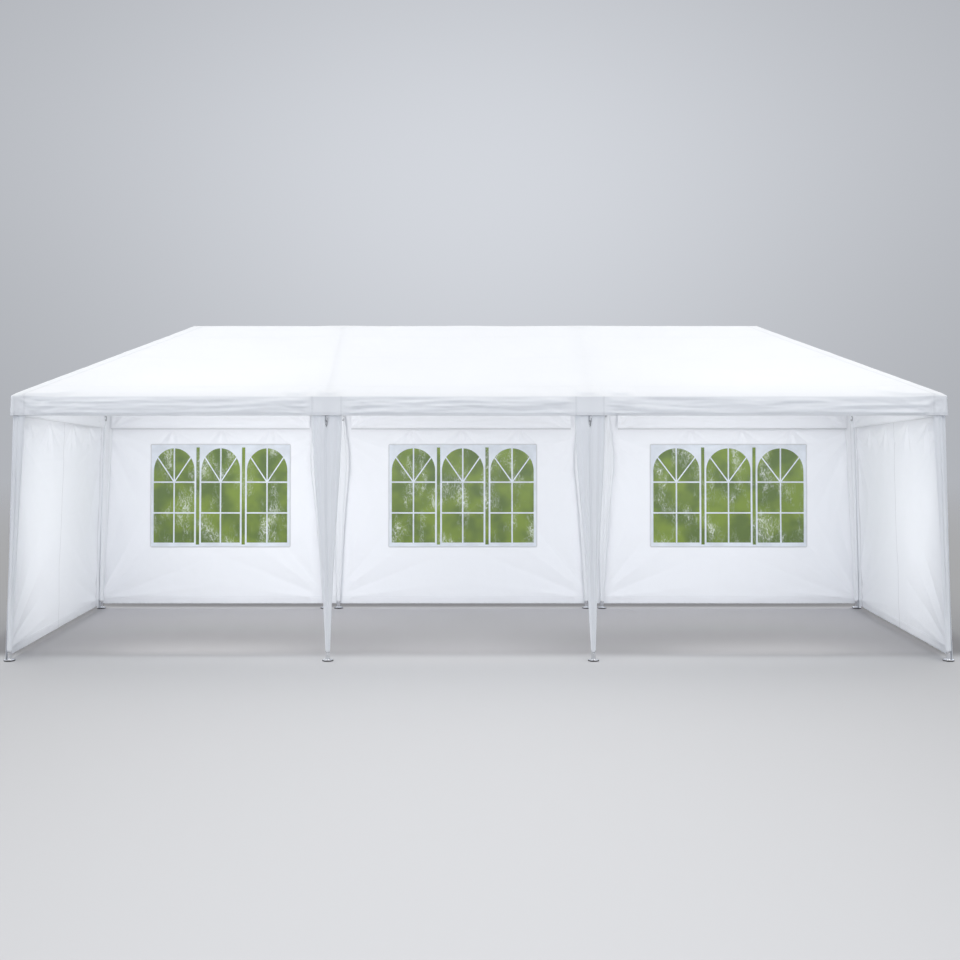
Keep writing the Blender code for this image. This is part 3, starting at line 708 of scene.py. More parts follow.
def rod(start, end):
    """A tube from start to end, with a small bevel at both ends."""
    length = float(np.linalg.norm(np.subtract(end, start)))
    bevelled = TUBE_RADIUS - TUBE_BEVEL
    near = [(0, 0), (0, bevelled), (TUBE_BEVEL, TUBE_RADIUS)]
    far = [(length - TUBE_BEVEL, TUBE_RADIUS), (length, bevelled), (length, 0)]
    return turned(start, end, near + far)


def arm(start, end, length, radius=SLEEVE_RADIUS):
    """A joint's arm from start towards end, with a rolled lip."""
    lip = [(-0.009, 0.0), (-0.006, 0.0014), (-0.002, 0.0014), (0.0, -0.001)]
    lip = [(length + back, radius + out) for back, out in lip]
    return turned(start, end, [(0, 0), (0, radius), *lip, (length, 0)])


def metal(name, colour, roughness, metallic, grain, bump):
    """Tube finish: a little orange peel, duller and darker in soft clouds where it is handled."""
    material, shader = new_material(name, Metallic=metallic, Roughness=roughness)
    place = shader.node("ShaderNodeTexCoord", output="Object")
    clouds = shader.mottle(place, 9.0, 4.0)
    peel = {"Strength": bump, "Distance": 0.001, "Height": shader.mottle(place, grain, 2.0)}
    principled = shader.output.node
    shade = clouds.step(0.35, 0.65).mix(toned(colour, 0.88), toned(colour))
    shader.feed(principled.inputs["Base Color"], shade)
    shader.feed(principled.inputs["Roughness"], clouds * 0.2 + (roughness - 0.1))
    shader.feed(principled.inputs["Normal"], shader.node("ShaderNodeBump", inputs=peel))
    return material


def middle_of(node):
    low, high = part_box(node)
    return (low + high) / 2


def leg_axis(name, z):
    """The point of a leg's axis at height z: a line from its foot through its tube's middle."""
    foot, middle = middle_of(f"foot_{name}"), middle_of(f"leg_{name}")
    share = z / middle.z
    return np.array([foot.x + (middle.x - foot.x) * share, foot.y + (middle.y - foot.y) * share, z])


def under_roof(x, y):
    """The point on the axes' surface under the roof: the ridge's height less the slope's fall."""
    return np.array([x, y, RIDGE_AXIS_Z - abs(y) * SLOPE])


def metal_piece(name, parts, material, slot, *replaced):
    """Turned metal parts as one piece, crisp where they bend by more than 35 degrees."""
    return new_object(name, joined(name, parts), material, slot, *replaced, sharp=35)


tube_paint = metal("tube_paint", PAINT_WHITE, 0.38, 0.0, 350.0, 0.05)
joint_zinc = metal("joint_zinc", ZINC_GREY, 0.42, 0.85, 160.0, 0.12)
for leg in LEGS:
    low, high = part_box(f"leg_{leg}")
    bottom, top = leg_axis(leg, low.z), leg_axis(leg, high.z)
    middle = (bottom + top) / 2
    length = float(np.linalg.norm(top - middle))
    rest = [(length - 0.001, TUBE_RADIUS), (length, TUBE_RADIUS - 0.001), (length, 0)]
    button = middle + BUTTON_PLACE
    parts = [rod(bottom, middle), turned(middle, top, SWAGE_PROFILE + rest)]
    parts.append(turned(button, button - (0, 0.005, 0), BUTTON_PROFILE, 10))
    metal_piece(f"tube_leg_{leg}", parts, tube_paint, "tube_paint", f"leg_{leg}")

slopes = {}
for side, sign, ridge_x in (("left", -1, RIDGE_LEFT), ("right", 1, RIDGE_RIGHT)):
    hip_x = sign * HALF_LENGTH + (ridge_x - sign * HALF_LENGTH) * RAIL_INSET / HALF_DEPTH
    slopes[f"hip_front_{side}"] = (under_roof(hip_x, -TOP_Y), under_roof(ridge_x, 0))
    slopes[f"hip_rear_{side}"] = (under_roof(hip_x, TOP_Y), under_roof(ridge_x, 0))
for side, front_x, rear_x in zip(("left", "right"), FRONT_RAFTERS, REAR_RAFTERS):
    slopes[f"rafter_front_{side}"] = (under_roof(front_x, -TOP_Y), under_roof(front_x, 0))
    slopes[f"rafter_rear_{side}"] = (under_roof(rear_x, TOP_Y), under_roof(front_x, 0))
for name, (eave, ridge) in slopes.items():
    along = (ridge - eave) / np.linalg.norm(ridge - eave)
    in_arm = along * (SLOPE_ARM - TUBE_PUSHED_IN)
    ends = eave + in_arm, ridge - in_arm
    metal_piece(f"tube_{name}", [rod(*ends)], tube_paint, "tube_paint", name)


def leg_arm(leg):
    return arm(leg_axis(leg, RAIL_Z), leg_axis(leg, 0), DOWN_ARM, LEG_SLEEVE_RADIUS)


def rail_parts(name):
    """A rail's white tubes and its grey joints, as two lists of grids."""
    if name == "ridge_rail":
        start, end = under_roof(RIDGE_LEFT, 0), under_roof(RIDGE_RIGHT, 0)
        joints = [arm(start, end, CORNER_ARM), arm(end, start, CORNER_ARM)]
        for x in FRONT_RAFTERS:
            joints += [arm(under_roof(x, 0), under_roof(x + way, 0), TEE_ARM) for way in (-1, 1)]
        joints += [arm(ridge, eave, SLOPE_ARM) for eave, ridge in slopes.values()]
        return [rod(start, end)], joints
    side = name.split("_")[-1]
    if side in ("left", "right"):
        x = -TOP_X if side == "left" else TOP_X
        tubes, joints = [rod((x, -TOP_Y, RAIL_Z), (x, TOP_Y, RAIL_Z))], []
        for end, y in (("front", -TOP_Y), ("rear", TOP_Y)):
            corner = (x, y * (1 + SLEEVE_RADIUS / TOP_Y), RAIL_Z)
            joints.append(arm(corner, (x, 0, RAIL_Z), CORNER_ARM + SLEEVE_RADIUS))
            joints.append(arm((x, y, RAIL_Z), (0, y, RAIL_Z), CORNER_ARM))
            joints.append(leg_arm(f"{end}_{side}"))
            joints.append(arm(*slopes[f"hip_{end}_{side}"], SLOPE_ARM))
        return tubes, joints
    y = -TOP_Y if side == "front" else TOP_Y
    reach = TOP_X - CORNER_ARM + TUBE_PUSHED_IN
    tubes, joints = [rod((-reach, y, RAIL_Z), (reach, y, RAIL_Z))], []
    for way in ("left", "right"):
        legs = [leg for leg in LEGS if leg.startswith(f"{side}_inner_{way}")]
        tops = [leg_axis(leg, RAIL_Z)[0] for leg in legs]
        middle = sum(tops) / len(tops)
        for out, end in ((-1, min(tops) - TEE_ARM), (1, max(tops) + TEE_ARM)):
            joints.append(arm((middle, y, RAIL_Z), (middle + out, y, RAIL_Z), abs(end - middle)))
        joints += [leg_arm(leg) for leg in legs]
        joints.append(arm(*slopes[f"rafter_{side}_{way}"], SLOPE_ARM))
    return tubes, joints


rails = [f"eave_rail_{side}" for side in ("front", "rear", "left", "right")] + ["ridge_rail"]
for name in rails:
    tubes, joints = rail_parts(name)
    metal_piece(f"tube_{name}", tubes, tube_paint, "tube_paint", name)
    metal_piece(f"joints_{name}", joints, joint_zinc, "tube_paint")


# Feet: a bright plated dish pressed from sheet, with a rolled rim, a flared collar and a socket
# for the leg, which is held by a button that snaps out through a hole. A dark ring is stretched
# round the rim and the foot stands on it: partly a rubber glide, partly painted shade and dark
# reflection of the rim's edge.
PAD_PROFILE = [
    (0, 0), (0, 0.0505), (0.0014, 0.0532), (0.005, 0.054), (0.0088, 0.0532), (0.0098, 0.0505),
    (0.0088, 0.044), (0.0088, 0),
]
FOOT_PROFILE = [
    (0.009, 0), (0.009, 0.047), (0.0098, 0.0492), (0.0112, 0.05), (0.0124, 0.0492),
    (0.0128, 0.047), (0.0122, 0.044), (0.0122, 0.034), (0.013, 0.03), (0.0146, 0.0272),
    (0.017, 0.0254), (0.021, 0.0242), (0.027, 0.0236), (0.056, 0.0235), (0.08, 0.0235),
    (0.082, 0.0244), (0.0845, 0.0242), (0.085, 0.0225), (0.083, 0.0195), (0.06, 0.0193), (0.06, 0),
]
COLLAR_PROFILE = [
    (0, 0), (0, 0.0036), (0.0015, 0.0046), (0.0025, 0.0036), (0.0012, 0.0022), (0.0012, 0),
]
COLLAR_PLACE = (0, -0.0225, 0.0735)
CHROME = (0.80, 0.81, 0.83)
RIM_RUBBER_AND_SHADE = (0.035, 0.035, 0.038)

bright_steel = metal("bright_steel", CHROME, 0.14, 1.0, 60.0, 0.04)
rim_rubber_and_shade = metal("rim_rubber_and_shade", RIM_RUBBER_AND_SHADE, 0.55, 0.0, 220.0, 0.3)
for leg in LEGS:
    base = leg_axis(leg, 0.0)
    hole = base + COLLAR_PLACE
    parts = [turned(base, base + (0, 0, 1), FOOT_PROFILE, 48)]
    parts.append(turned(hole, hole - (0, 1, 0), COLLAR_PROFILE, 16))
    dish, node = joined(f"dish_foot_{leg}", parts), f"foot_{leg}"
    new_object(f"dish_foot_{leg}", dish, bright_steel, "bright_steel", node, sharp=50)
    # The dark ring: partly a rubber glide, partly painted shade and dark reflection of the dish's
    # rim.
    ring = joined(f"pad_foot_{leg}", [turned(base, base + (0, 0, 1), PAD_PROFILE, 48)])
    new_object(f"pad_foot_{leg}", ring, rim_rubber_and_shade, "bright_steel")


# Walls: panels of the same cloth hung over the eave rails. The top edge folds over the rail and
# comes down inside as a header, the bottom has a deep stitched hem, and each panel is drawn tight
# between the legs, so that folds run from its header and its lower corners.
WALL_INSET = 0.014
WALL_BOTTOM_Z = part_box("wall_rear_left")[0].z
WALL_HEM = 0.082
WALL_FOLD_Z = 2.556
WALL_CUT = 2.57
CLOTH_CELL = 0.0165
TIP_DROP = 0.035
WALL_LOWER = {"rear": 0.009, "left": 0.025, "right": 0.025}
HEADER_V = 3.0
HEADER_BAND = 0.017
HEADER_INSET = 0.0693
HEADER_Z = 2.158
END_SPAN = (-HALF_DEPTH + 0.016, HALF_DEPTH - 0.0165)
END_HEADER = (-1.385, 1.23)
END_HEADER_Z = (2.345, 2.175)
WINDOW_Z = (0.752, 1.962)
FOOT_OUT = {end: middle_of(f"foot_{end}_right") for end in ("front", "rear")}
REAR_PANELS = {
    "left": {
        "span": (-4.488, -1.780),
        "header": (-4.400, -2.030),
        "window": (-3.929, -2.283),
        "seed": 100,
    },
    "middle": {
        "span": (-1.7796, 1.3896),
        "header": (-1.531, 1.100),
        "window": (-1.069, 0.679),
        "seed": 140,
    },
    "right": {
        "span": (1.390, 4.488),
        "header": (1.665, 4.400),
        "window": (2.075, 3.923),
        "seed": 180,
    },
}
HEADER_TIES = {
    "left": (-3.689, -3.098, -2.495),
    "middle": (-0.808, -0.205, 0.494),
    "right": (2.532, 3.146, 3.749),
    "end": (-1.05, -0.45, 0.25, 0.80),
}
WALL_FOOT_TURNS = (1.70, 1.95, 2.20, 2.45, 2.72, 2.95)
WALL_TOP_TURNS = (0.20, 0.42, 0.66, 0.95, 1.22)
HEADER_TURNS = (1.68, 1.90, 2.14, 2.45, 2.80)
WALL_WHITE = (0.89, 0.905, 0.935)


def lean(x, y, z):
    """Legs and walls lean out below the rail: the plan grows evenly with the drop, to the feet.

    A rear wall is drawn out sideways with its corner leg, and less than that in its middle.
    """
    down = np.clip((RAIL_Z - z) / RAIL_Z, 0, None)
    drawn_out = 0.35 + 0.65 * rise(np.abs(x), 4.0, 4.45)
    front_share = (TOP_Y - y) / (2 * TOP_Y)
    foot_x = front_share * FOOT_OUT["front"].x + (1 - front_share) * FOOT_OUT["rear"].x
    out_y = FOOT_OUT["rear"].y / TOP_Y
    out_x = (foot_x / TOP_X - 1) * drawn_out
    return np.stack([x * (1 + out_x * down), y * (1 + (out_y - 1) * down), z], axis=-1)


def stand(side, along, inset, z):
    """Points of that side's wall: the way along it, how far in from the eave, the height."""
    if side == "rear":
        return lean(along, HALF_DEPTH - inset, z)
    sign = -1 if side == "left" else 1
    return lean(sign * (HALF_LENGTH - inset), along, z)


def wall_folds(along, z, span, ties, header_z, seed):
    """How far a wall is drawn in: slack, upright pleats, folds from its ties and its corners.

    All of it fades by the header and by the legs, where the cloth lies on the frame.
    """
    low, high = span
    edge = np.minimum(along - low, high - along)
    inner = rise(edge, 0.0, 0.5)
    drawn = 0.014 * noise(along * 0.75, z * 0.55, seed) * inner
    pleats = creases(along * 2.0 + 0.3 * z, z * 0.22, seed + 1, 2)
    drawn += 0.006 * pleats * (0.35 + 0.65 * (1 - inner))
    drawn += 0.0022 * creases(along * 3.1, z * 2.3, seed + 2, 4)
    above = 0.25 + 0.75 * rise(z, WINDOW_Z[1] - 0.03, WINDOW_Z[1] + 0.08)
    for number, tie in enumerate(ties):
        at = (tie, np.interp(tie, (low, high), header_z) + 0.01)
        lean_way = 0.12 * math.sin(7.3 * (seed + number))
        turns = [turn + lean_way for turn in (-0.80, -0.38, 0.0, 0.36, 0.84)]
        drawn -= 0.016 * spokes(along, z, at, turns, 0.15, 0.085) * above
        drawn -= 0.005 * spokes(along, z, at, (-1.25, 1.2), 0.22, 0.06) * above
    for end, way, top_z in ((low, 1, header_z[0]), (high, -1, header_z[1])):
        foot = (end, WALL_BOTTOM_Z + 0.05)
        drawn += 0.012 * spokes(along, z, foot, WALL_FOOT_TURNS, 0.42, 0.075, way)
        drawn += 0.010 * spokes(along, z, (end, top_z), WALL_TOP_TURNS, 0.40, 0.075, way)
    for fold in (0.62, 1.24, 1.86):
        drawn += 0.0016 * np.exp(-np.abs(z - fold - 0.01 * noise(along, 0 * z, seed)) / 0.012)
    bottom = 1 - rise(z, WALL_BOTTOM_Z, WALL_BOTTOM_Z + 0.45)
    drawn += 0.004 * creases(along * 1.3 + z, z * 5.5, seed + 9, 3) * bottom
    top_z = np.interp(along, (low, high), header_z)
    below = rise(top_z + 0.012 - z, 0.0, 0.03)
    hem = 0.45 + 0.55 * rise(z, WALL_BOTTOM_Z, WALL_BOTTOM_Z + WALL_HEM + 0.01)
    low_down = 1 - rise(z, WALL_BOTTOM_Z, WALL_BOTTOM_Z + 0.1)
    return drawn * below * hem + 0.004 * noise(along * 2.5, z * 3, seed + 30) * low_down


def wall_shape(side, along, z, span, ties, header_z, seed):
    """A wall's folds, drawn in by no more than the leg covers leave free behind them."""
    drawn = wall_folds(along, z, span, ties, header_z, seed)
    if side != "rear":
        return np.clip(drawn, -0.03, 0.0015 + 0.05 * rise(TOP_Y - np.abs(along), 0.10, 0.30))
    room = np.full_like(drawn, 0.05)
    for leg in LEGS:
        if leg.startswith("rear_inner"):
            low, high = leg_axis(leg, 0.0)[0], leg_axis(leg, RAIL_Z)[0]
            here = low + (high - low) * z / RAIL_Z
            room = np.minimum(room, 0.0015 + 0.05 * rise(np.abs(along - here), 0.10, 0.32))
    return np.clip(drawn, -0.03, room)


def wall_mesh(name, side, span, ties, header_z, seed, window=None):
    """Rows from under the eave down to the floor's gap, then up again inside the hem.

    Columns run anticlockwise round the tent, so that the faces look out; the window's edges are
    on the grid's lines, and its cells are left out.
    """
    def lines(low, high, count, exact):
        """Even grid lines with the exact ones among them, and none too close to those."""
        places = np.unique(np.concatenate([np.linspace(low, high, count), exact]))
        return places[np.append(True, np.diff(places) > 0.004) | np.isin(places, exact)]

    hem_z = WALL_BOTTOM_Z + WALL_HEM
    heights = [WALL_BOTTOM_Z, hem_z, *(WINDOW_Z if window else ()), WALL_FOLD_Z]
    columns = lines(*span, round((span[1] - span[0]) / CLOTH_CELL), [*span, *(window or ())])
    rows = lines(WALL_BOTTOM_Z, WALL_FOLD_Z, 152, heights)
    columns = columns if side == "right" else columns[::-1]
    hem = rows[rows <= hem_z + 1e-6]
    z = np.concatenate([rows[::-1], hem])[:, None] + 0 * columns
    along = columns + 0 * z
    fold = np.concatenate([0 * rows, 0 * hem + HEM_GAP])[:, None]
    drawn = wall_shape(side, along, z, span, ties, header_z, seed)
    lower = WALL_LOWER[side] * (1 - rise(z, WALL_BOTTOM_Z, WALL_BOTTOM_Z + 0.5))
    if side != "rear":
        tip = 1 - rise(np.minimum(along - span[0], span[1] - along), 0.0, 0.13)
        lower = lower + TIP_DROP * tip * (1 - rise(z, WALL_BOTTOM_Z, WALL_BOTTOM_Z + 0.30))
    points = stand(side, along, WALL_INSET + drawn + fold, z - lower)
    keep, sewn = None, along
    if window:
        past_x = np.maximum(np.maximum(window[0] - along, along - window[1]), 0)
        past_z = np.maximum(np.maximum(WINDOW_Z[0] - z, z - WINDOW_Z[1]), 0)
        sewn = np.hypot(past_x, past_z)
        middle_x = (along[:-1, :-1] + along[1:, 1:]) / 2
        middle_z = (z[:-1, :-1] + z[1:, 1:]) / 2
        in_window = (middle_x > window[0]) & (middle_x < window[1])
        keep = ~(in_window & (middle_z > WINDOW_Z[0]) & (middle_z < WINDOW_Z[1]))
    return welded(grid_mesh(name, points, np.stack([along, z], axis=-1), keep=keep, sewn=sewn))


def header_mesh(name, side, span, bottom, seed):
    """The folded top: up inside from its own hem, over the rail and down behind it.

    bottom is the height of its lower edge at the two ends of the span. Level wrinkles run along
    the inside, and folds spread up from its lower corners.
    """
    along = np.linspace(*span, round((span[1] - span[0]) / CLOTH_CELL))
    if side != "right":
        along = along[::-1]
    edge_z = np.interp(along, span, bottom)
    inner_z = edge_z + (RAIL_Z - edge_z) * np.linspace(0, 1, 28)[:, None]
    turn = np.linspace(0, math.pi, 9)[1:-1, None]
    arc = HEADER_INSET - RAIL_INSET
    outer = np.linspace(RAIL_Z, RAIL_Z - 0.09, 5)[:, None] + 0 * along
    hem_z = edge_z + np.array([0.018, 0.0])[:, None]
    z = np.vstack([hem_z, inner_z, RAIL_Z + arc * np.sin(turn) + 0 * along, outer])
    hem_inset = 0 * hem_z + HEADER_INSET - HEM_GAP
    arc_inset = RAIL_INSET + arc * np.cos(turn) + 0 * along
    outer_inset = 0 * outer + RAIL_INSET - arc
    inset = np.vstack([hem_inset, 0 * inner_z + HEADER_INSET, arc_inset, outer_inset])
    spread = along + 0 * z
    wave = 0.013 * creases(spread * 0.55, z * 9 + 0.6 * noise(spread * 0.8, 0 * z, seed), seed, 2)
    wave += 0.006 * creases(spread * 2.2, z * 15, seed + 1, 2)
    for at, way in zip(zip(span, bottom), (1, -1)):
        wave -= 0.011 * spokes(spread, z, at, HEADER_TURNS, 0.20, 0.085, way)
    wave *= rise(RAIL_Z - 0.03 - z, 0.0, 0.08)
    wave[:2] = wave[2]
    inset = inset + np.clip(wave, -0.004, 0.022)
    inset[2:5] += HEM_GAP * np.array([1.0, 1.0, 0.3])[:, None] * (z[2:5] < edge_z + 0.02)
    flat = np.stack([spread, HEADER_V + z - edge_z], axis=-1)
    return welded(grid_mesh(name, stand(side, spread, inset, z), flat))


hem_top = WALL_BOTTOM_Z + WALL_HEM
wall_seams = (("Y", hem_top), ("Y", HEADER_V + HEADER_BAND))
# Painted highlight: each wall's bottom edge is painted lighter, as if its rolled hem caught the
# light.
hem_painted_highlight = ("Y", WALL_BOTTOM_Z - 0.01, WALL_BOTTOM_Z + 0.013, 1.06)
# Painted shade: the header's hem is painted darker, as if it hung in its own shadow.
header_hem_painted_shade = ("Y", HEADER_V - 0.1, HEADER_V + HEADER_BAND, 0.74)
# Round each window the wall is darker: the welded edge lies double there, and the rest of the
# darkening is painted shade of the sewn edge.
rear_bands = (hem_painted_highlight, header_hem_painted_shade, ("sewn", -1.0, 0.022, 0.70))
end_bands = (
    hem_painted_highlight,
    # Painted shade under the end header's hem, as on the rear headers.
    ("Y", HEADER_V - 0.1, HEADER_V + 0.008, 0.84),
    ("sewn", -0.005, 0.005, 0.72),
    # Painted shade: a darker strip near the end wall's rear edge, for the shadowed gap beside the
    # rear corner cover.
    ("X", 1.302, 1.345, 0.80),
)
wall_cloth = cloth("wall_cloth", WALL_WHITE, 0.12, (*wall_seams, ("sewn", 0.012)), rear_bands)
end_cloth = cloth("end_cloth", WALL_WHITE, 0.12, (*wall_seams, ("sewn", 0.0)), end_bands)
for side, cut in REAR_PANELS.items():
    seed, rail = cut["seed"], ["eave_rail_rear"]
    span, flap, window, ties = cut["span"], cut["header"], cut["window"], HEADER_TIES[side]
    name, header_z = f"cloth_rear_{side}", (HEADER_Z, HEADER_Z)
    mesh = wall_mesh(name, "rear", span, ties, header_z, seed, window)
    piece = new_object(name, mesh, wall_cloth, "wall_cloth", f"wall_rear_{side}")
    header = header_mesh(f"header_rear_{side}", "rear", flap, header_z, seed + 35)
    header = new_object(f"header_rear_{side}", header, wall_cloth, "wall_cloth")
    width = span[1] - span[0]
    area = width * WALL_CUT - (window[1] - window[0]) * (WINDOW_Z[1] - WINDOW_Z[0])
    flap[1] - flap[0]
for side, seed in (("left", 240), ("right", 280)):
    rail, ties = [f"eave_rail_{side}"], HEADER_TIES["end"]
    mesh = wall_mesh(f"cloth_end_{side}", side, END_SPAN, ties, END_HEADER_Z, seed)
    piece = new_object(f"cloth_end_{side}", mesh, end_cloth, "wall_cloth", f"wall_{side}")
    header = header_mesh(f"header_end_{side}", side, END_HEADER, END_HEADER_Z, seed + 35)
    header = new_object(f"header_end_{side}", header, end_cloth, "wall_cloth")
    width, flap = END_SPAN[1] - END_SPAN[0], END_HEADER[1] - END_HEADER[0]


# Windows: clear film welded into the wall's opening, printed on with three arched lights whose
# bars are broad white bands; it has kept the small crinkles of having been packed.
FILM_LAP = 0.007
BAND_STEP = 0.015
BAR_PROUD = 0.0020
HEAD_PROUD = 0.0030
EDGE_PROUD = 0.0036
SILL = 0.014
SLIT = 0.040
STILE = 0.021
GLAZING_BAR = 0.0165
BOTTOM_BAR = 0.038
TOP_BAR = 0.033
BAR_HEIGHTS = (1.149, 1.521)
ARCH_RISE = 0.27
DIAGONAL_TURN = 36.0
SLIT_SHORT = 0.022
FILM_TINT = (0.175, 0.265, 0.010)
FILM_SHADE = (0.080, 0.145, 0.006)
FILM_ALPHA = 0.87
CREASE_WHITE = (0.85, 0.88, 0.86)
PRINT_WHITE = (0.87, 0.92, 0.99)


def film_inset(side, x, z):
    """The film's inset from the eave: the wall's own at its edge, then tighter, with crinkles."""
    cut, heights = REAR_PANELS[side], (HEADER_Z, HEADER_Z)
    seed, (low, high) = cut["seed"], cut["window"]
    edge_x = np.minimum(x - low, high - x)
    edge_z = np.minimum(z - WINDOW_Z[0], WINDOW_Z[1] - z)
    inside = rise(np.minimum(edge_x, edge_z), 0.0, 0.07)
    wall = wall_shape("rear", x, z, cut["span"], HEADER_TIES[side], heights, seed)
    crinkle = 0.0013 * creases(x * 4.5, z * 4.5, seed + 37, 3)
    crinkle = crinkle + 0.006 * noise(x * 1.1, z * 1.1, seed + 38)
    return WALL_INSET + wall * (1 - 0.8 * inside) + crinkle * inside + 0.0012


def capped(rings):
    """Rings of corners in a row, closed in a point at both ends."""
    ends = [np.repeat(rings[i].mean(axis=0)[None, None], rings.shape[1], axis=1) for i in (0, -1)]
    return np.concatenate([ends[0], rings, ends[1]])


def band(side, start, end, width, thick):
    """A flat printed band from start to end, in x and z: a thin closed strip on the film.

    Each ring is the strip's four corners, left and right of the line, before and behind the film.
    """
    count = max(3, round(math.dist(start, end) / BAND_STEP))
    x, z = np.linspace(start[0], end[0], count), np.linspace(start[1], end[1], count)
    way_x, way_z = np.gradient(x), np.gradient(z)
    size = np.hypot(way_x, way_z)
    off_x, off_z = -way_z / size * width / 2, way_x / size * width / 2
    left, right = (x + off_x, z + off_z), (x - off_x, z - off_z)
    corners = []
    for (cx, cz), front in ((right, 1), (left, 1), (left, -1), (right, -1)):
        corners.append(stand("rear", cx, film_inset(side, cx, cz) + front * thick, cz))
    return capped(np.stack(corners, axis=1))


def spandrel(side, middle, half, spring_z, top_z, arch_half):
    """The printed head of a light: between its arch, a half ellipse, and the square round it."""
    corner = math.atan2(top_z - spring_z, half)
    turn = np.unique(np.append(np.linspace(0, math.pi, 61), [corner, math.pi - corner]))
    arch = (middle + arch_half * np.cos(turn), spring_z + ARCH_RISE * np.sin(turn))
    aside = half / np.maximum(np.abs(np.cos(turn)), 1e-9)
    reach = np.minimum(aside, (top_z - spring_z) / np.maximum(np.sin(turn), 1e-9))
    square = (middle + reach * np.cos(turn), spring_z + reach * np.sin(turn))
    corners = []
    for front, shares in ((1, (1, 0.8, 0.6, 0.4, 0.2, 0)), (-1, (0, 0.2, 0.4, 0.6, 0.8, 1))):
        for share in shares:
            x = arch[0] + (square[0] - arch[0]) * share
            z = arch[1] + (square[1] - arch[1]) * share
            corners.append(stand("rear", x, film_inset(side, x, z) + front * HEAD_PROUD, z))
    return capped(np.stack(corners, axis=1))


def light_parts(side, low, high, window):
    """One arched light between low and high: stiles, bottom bar, spandrels and glazing bars.

    A stile at the window's side runs out over the film's lap, and so do the top and the bottom.
    """
    middle, half = (low + high) / 2, (high - low) / 2
    arch_half = half - STILE
    arch_z = WINDOW_Z[1] - TOP_BAR
    spring_z = arch_z - ARCH_RISE
    parts = [spandrel(side, middle, half, spring_z, WINDOW_Z[1] - SLIT_SHORT, arch_half)]

    def bar(start, end, width, thick=1.0):
        parts.append(band(side, start, end, width, BAR_PROUD * thick))

    for sign, edge in ((-1, low), (1, high)):
        lap = FILM_LAP if min(abs(edge - side_x) for side_x in window) < 1e-6 else 0.0
        x = edge + sign * lap - sign * (STILE + lap) / 2
        top_z = WINDOW_Z[1] + FILM_LAP if lap else spring_z
        bar((x, WINDOW_Z[0] - FILM_LAP), (x, top_z), STILE + lap)
    bottom = WINDOW_Z[0] + BOTTOM_BAR / 2
    bar((low + STILE, bottom), (high - STILE, bottom), BOTTOM_BAR)
    bar((middle, WINDOW_Z[0] + BOTTOM_BAR), (middle, arch_z + 0.004), GLAZING_BAR)
    for z in BAR_HEIGHTS:
        for sign in (-1, 1):
            start = (middle + sign * GLAZING_BAR / 2, z)
            bar(start, (middle + sign * arch_half, z), GLAZING_BAR, 1.1)
    turn = math.radians(DIAGONAL_TURN)
    tip_z = spring_z + ARCH_RISE * math.sin(turn)
    for sign in (-1, 1):
        tip = (middle + sign * arch_half * math.cos(turn), tip_z)
        bar((middle, BAR_HEIGHTS[1]), tip, GLAZING_BAR * 0.9, 1.2)
    return parts


def make_film_material():
    """Clear vinyl film: tinted, and hazed white where it was creased.

    The creases are thin lines where a bent noise passes its middle, coarse and fine ones, gathered
    in slanting patches, and the haze between them is faint. The tint deepens here and there, where
    the film lies thicker.
    """
    material, shader = new_material("clear_film", Roughness=0.09, Specular_IOR_Level=0.45)
    flat = shader.node("ShaderNodeUVMap", {"uv_map": "flat"})
    slant = {"Vector": flat, "Rotation": (0, 0, 0.6), "Scale": (1.0, 0.45, 1.0)}
    slanted = shader.node("ShaderNodeMapping", inputs=slant)
    patch = shader.mottle(slanted, 4.5, 3.0)
    haze = patch.step(0.50, 0.75) * 0.10
    for scale, thin, share in ((13.0, 0.012, 0.60), (34.0, 0.024, 0.50)):
        creased = shader.mottle(slanted, scale, 2.0).bell(0.5, thin)
        haze = haze + creased * patch.step(0.46, 0.68) * share
    haze = haze.math("MINIMUM", haze, 1.0)
    deeper = shader.mottle(flat, 3.0, 2.0).step(0.35, 0.65)
    shade = haze.mix(deeper.mix(toned(FILM_SHADE), toned(FILM_TINT)), toned(CREASE_WHITE))
    principled = shader.output.node
    shader.feed(principled.inputs["Base Color"], shade)
    shader.feed(principled.inputs["Alpha"], haze * (1.0 - FILM_ALPHA) * 0.8 + FILM_ALPHA)
    return material


def make_print_material():
    """White ink on film: cool white, cloudy, with the film's own gloss."""
    material, shader = new_material("window_print", Roughness=0.28, Specular_IOR_Level=0.5)
    place = shader.node("ShaderNodeTexCoord", output="Object")
    clouds = shader.mottle(place, 6.0, 3.0).step(0.3, 0.7)
    shade = clouds.mix(toned(PRINT_WHITE, 0.88), toned(PRINT_WHITE))
    shader.feed(shader.output.node.inputs["Base Color"], shade)
    through = shader.node("ShaderNodeBsdfTranslucent", inputs={"Color": toned(PRINT_WHITE)})
    show_mixed(material, 0.18, shader, through)
    return material


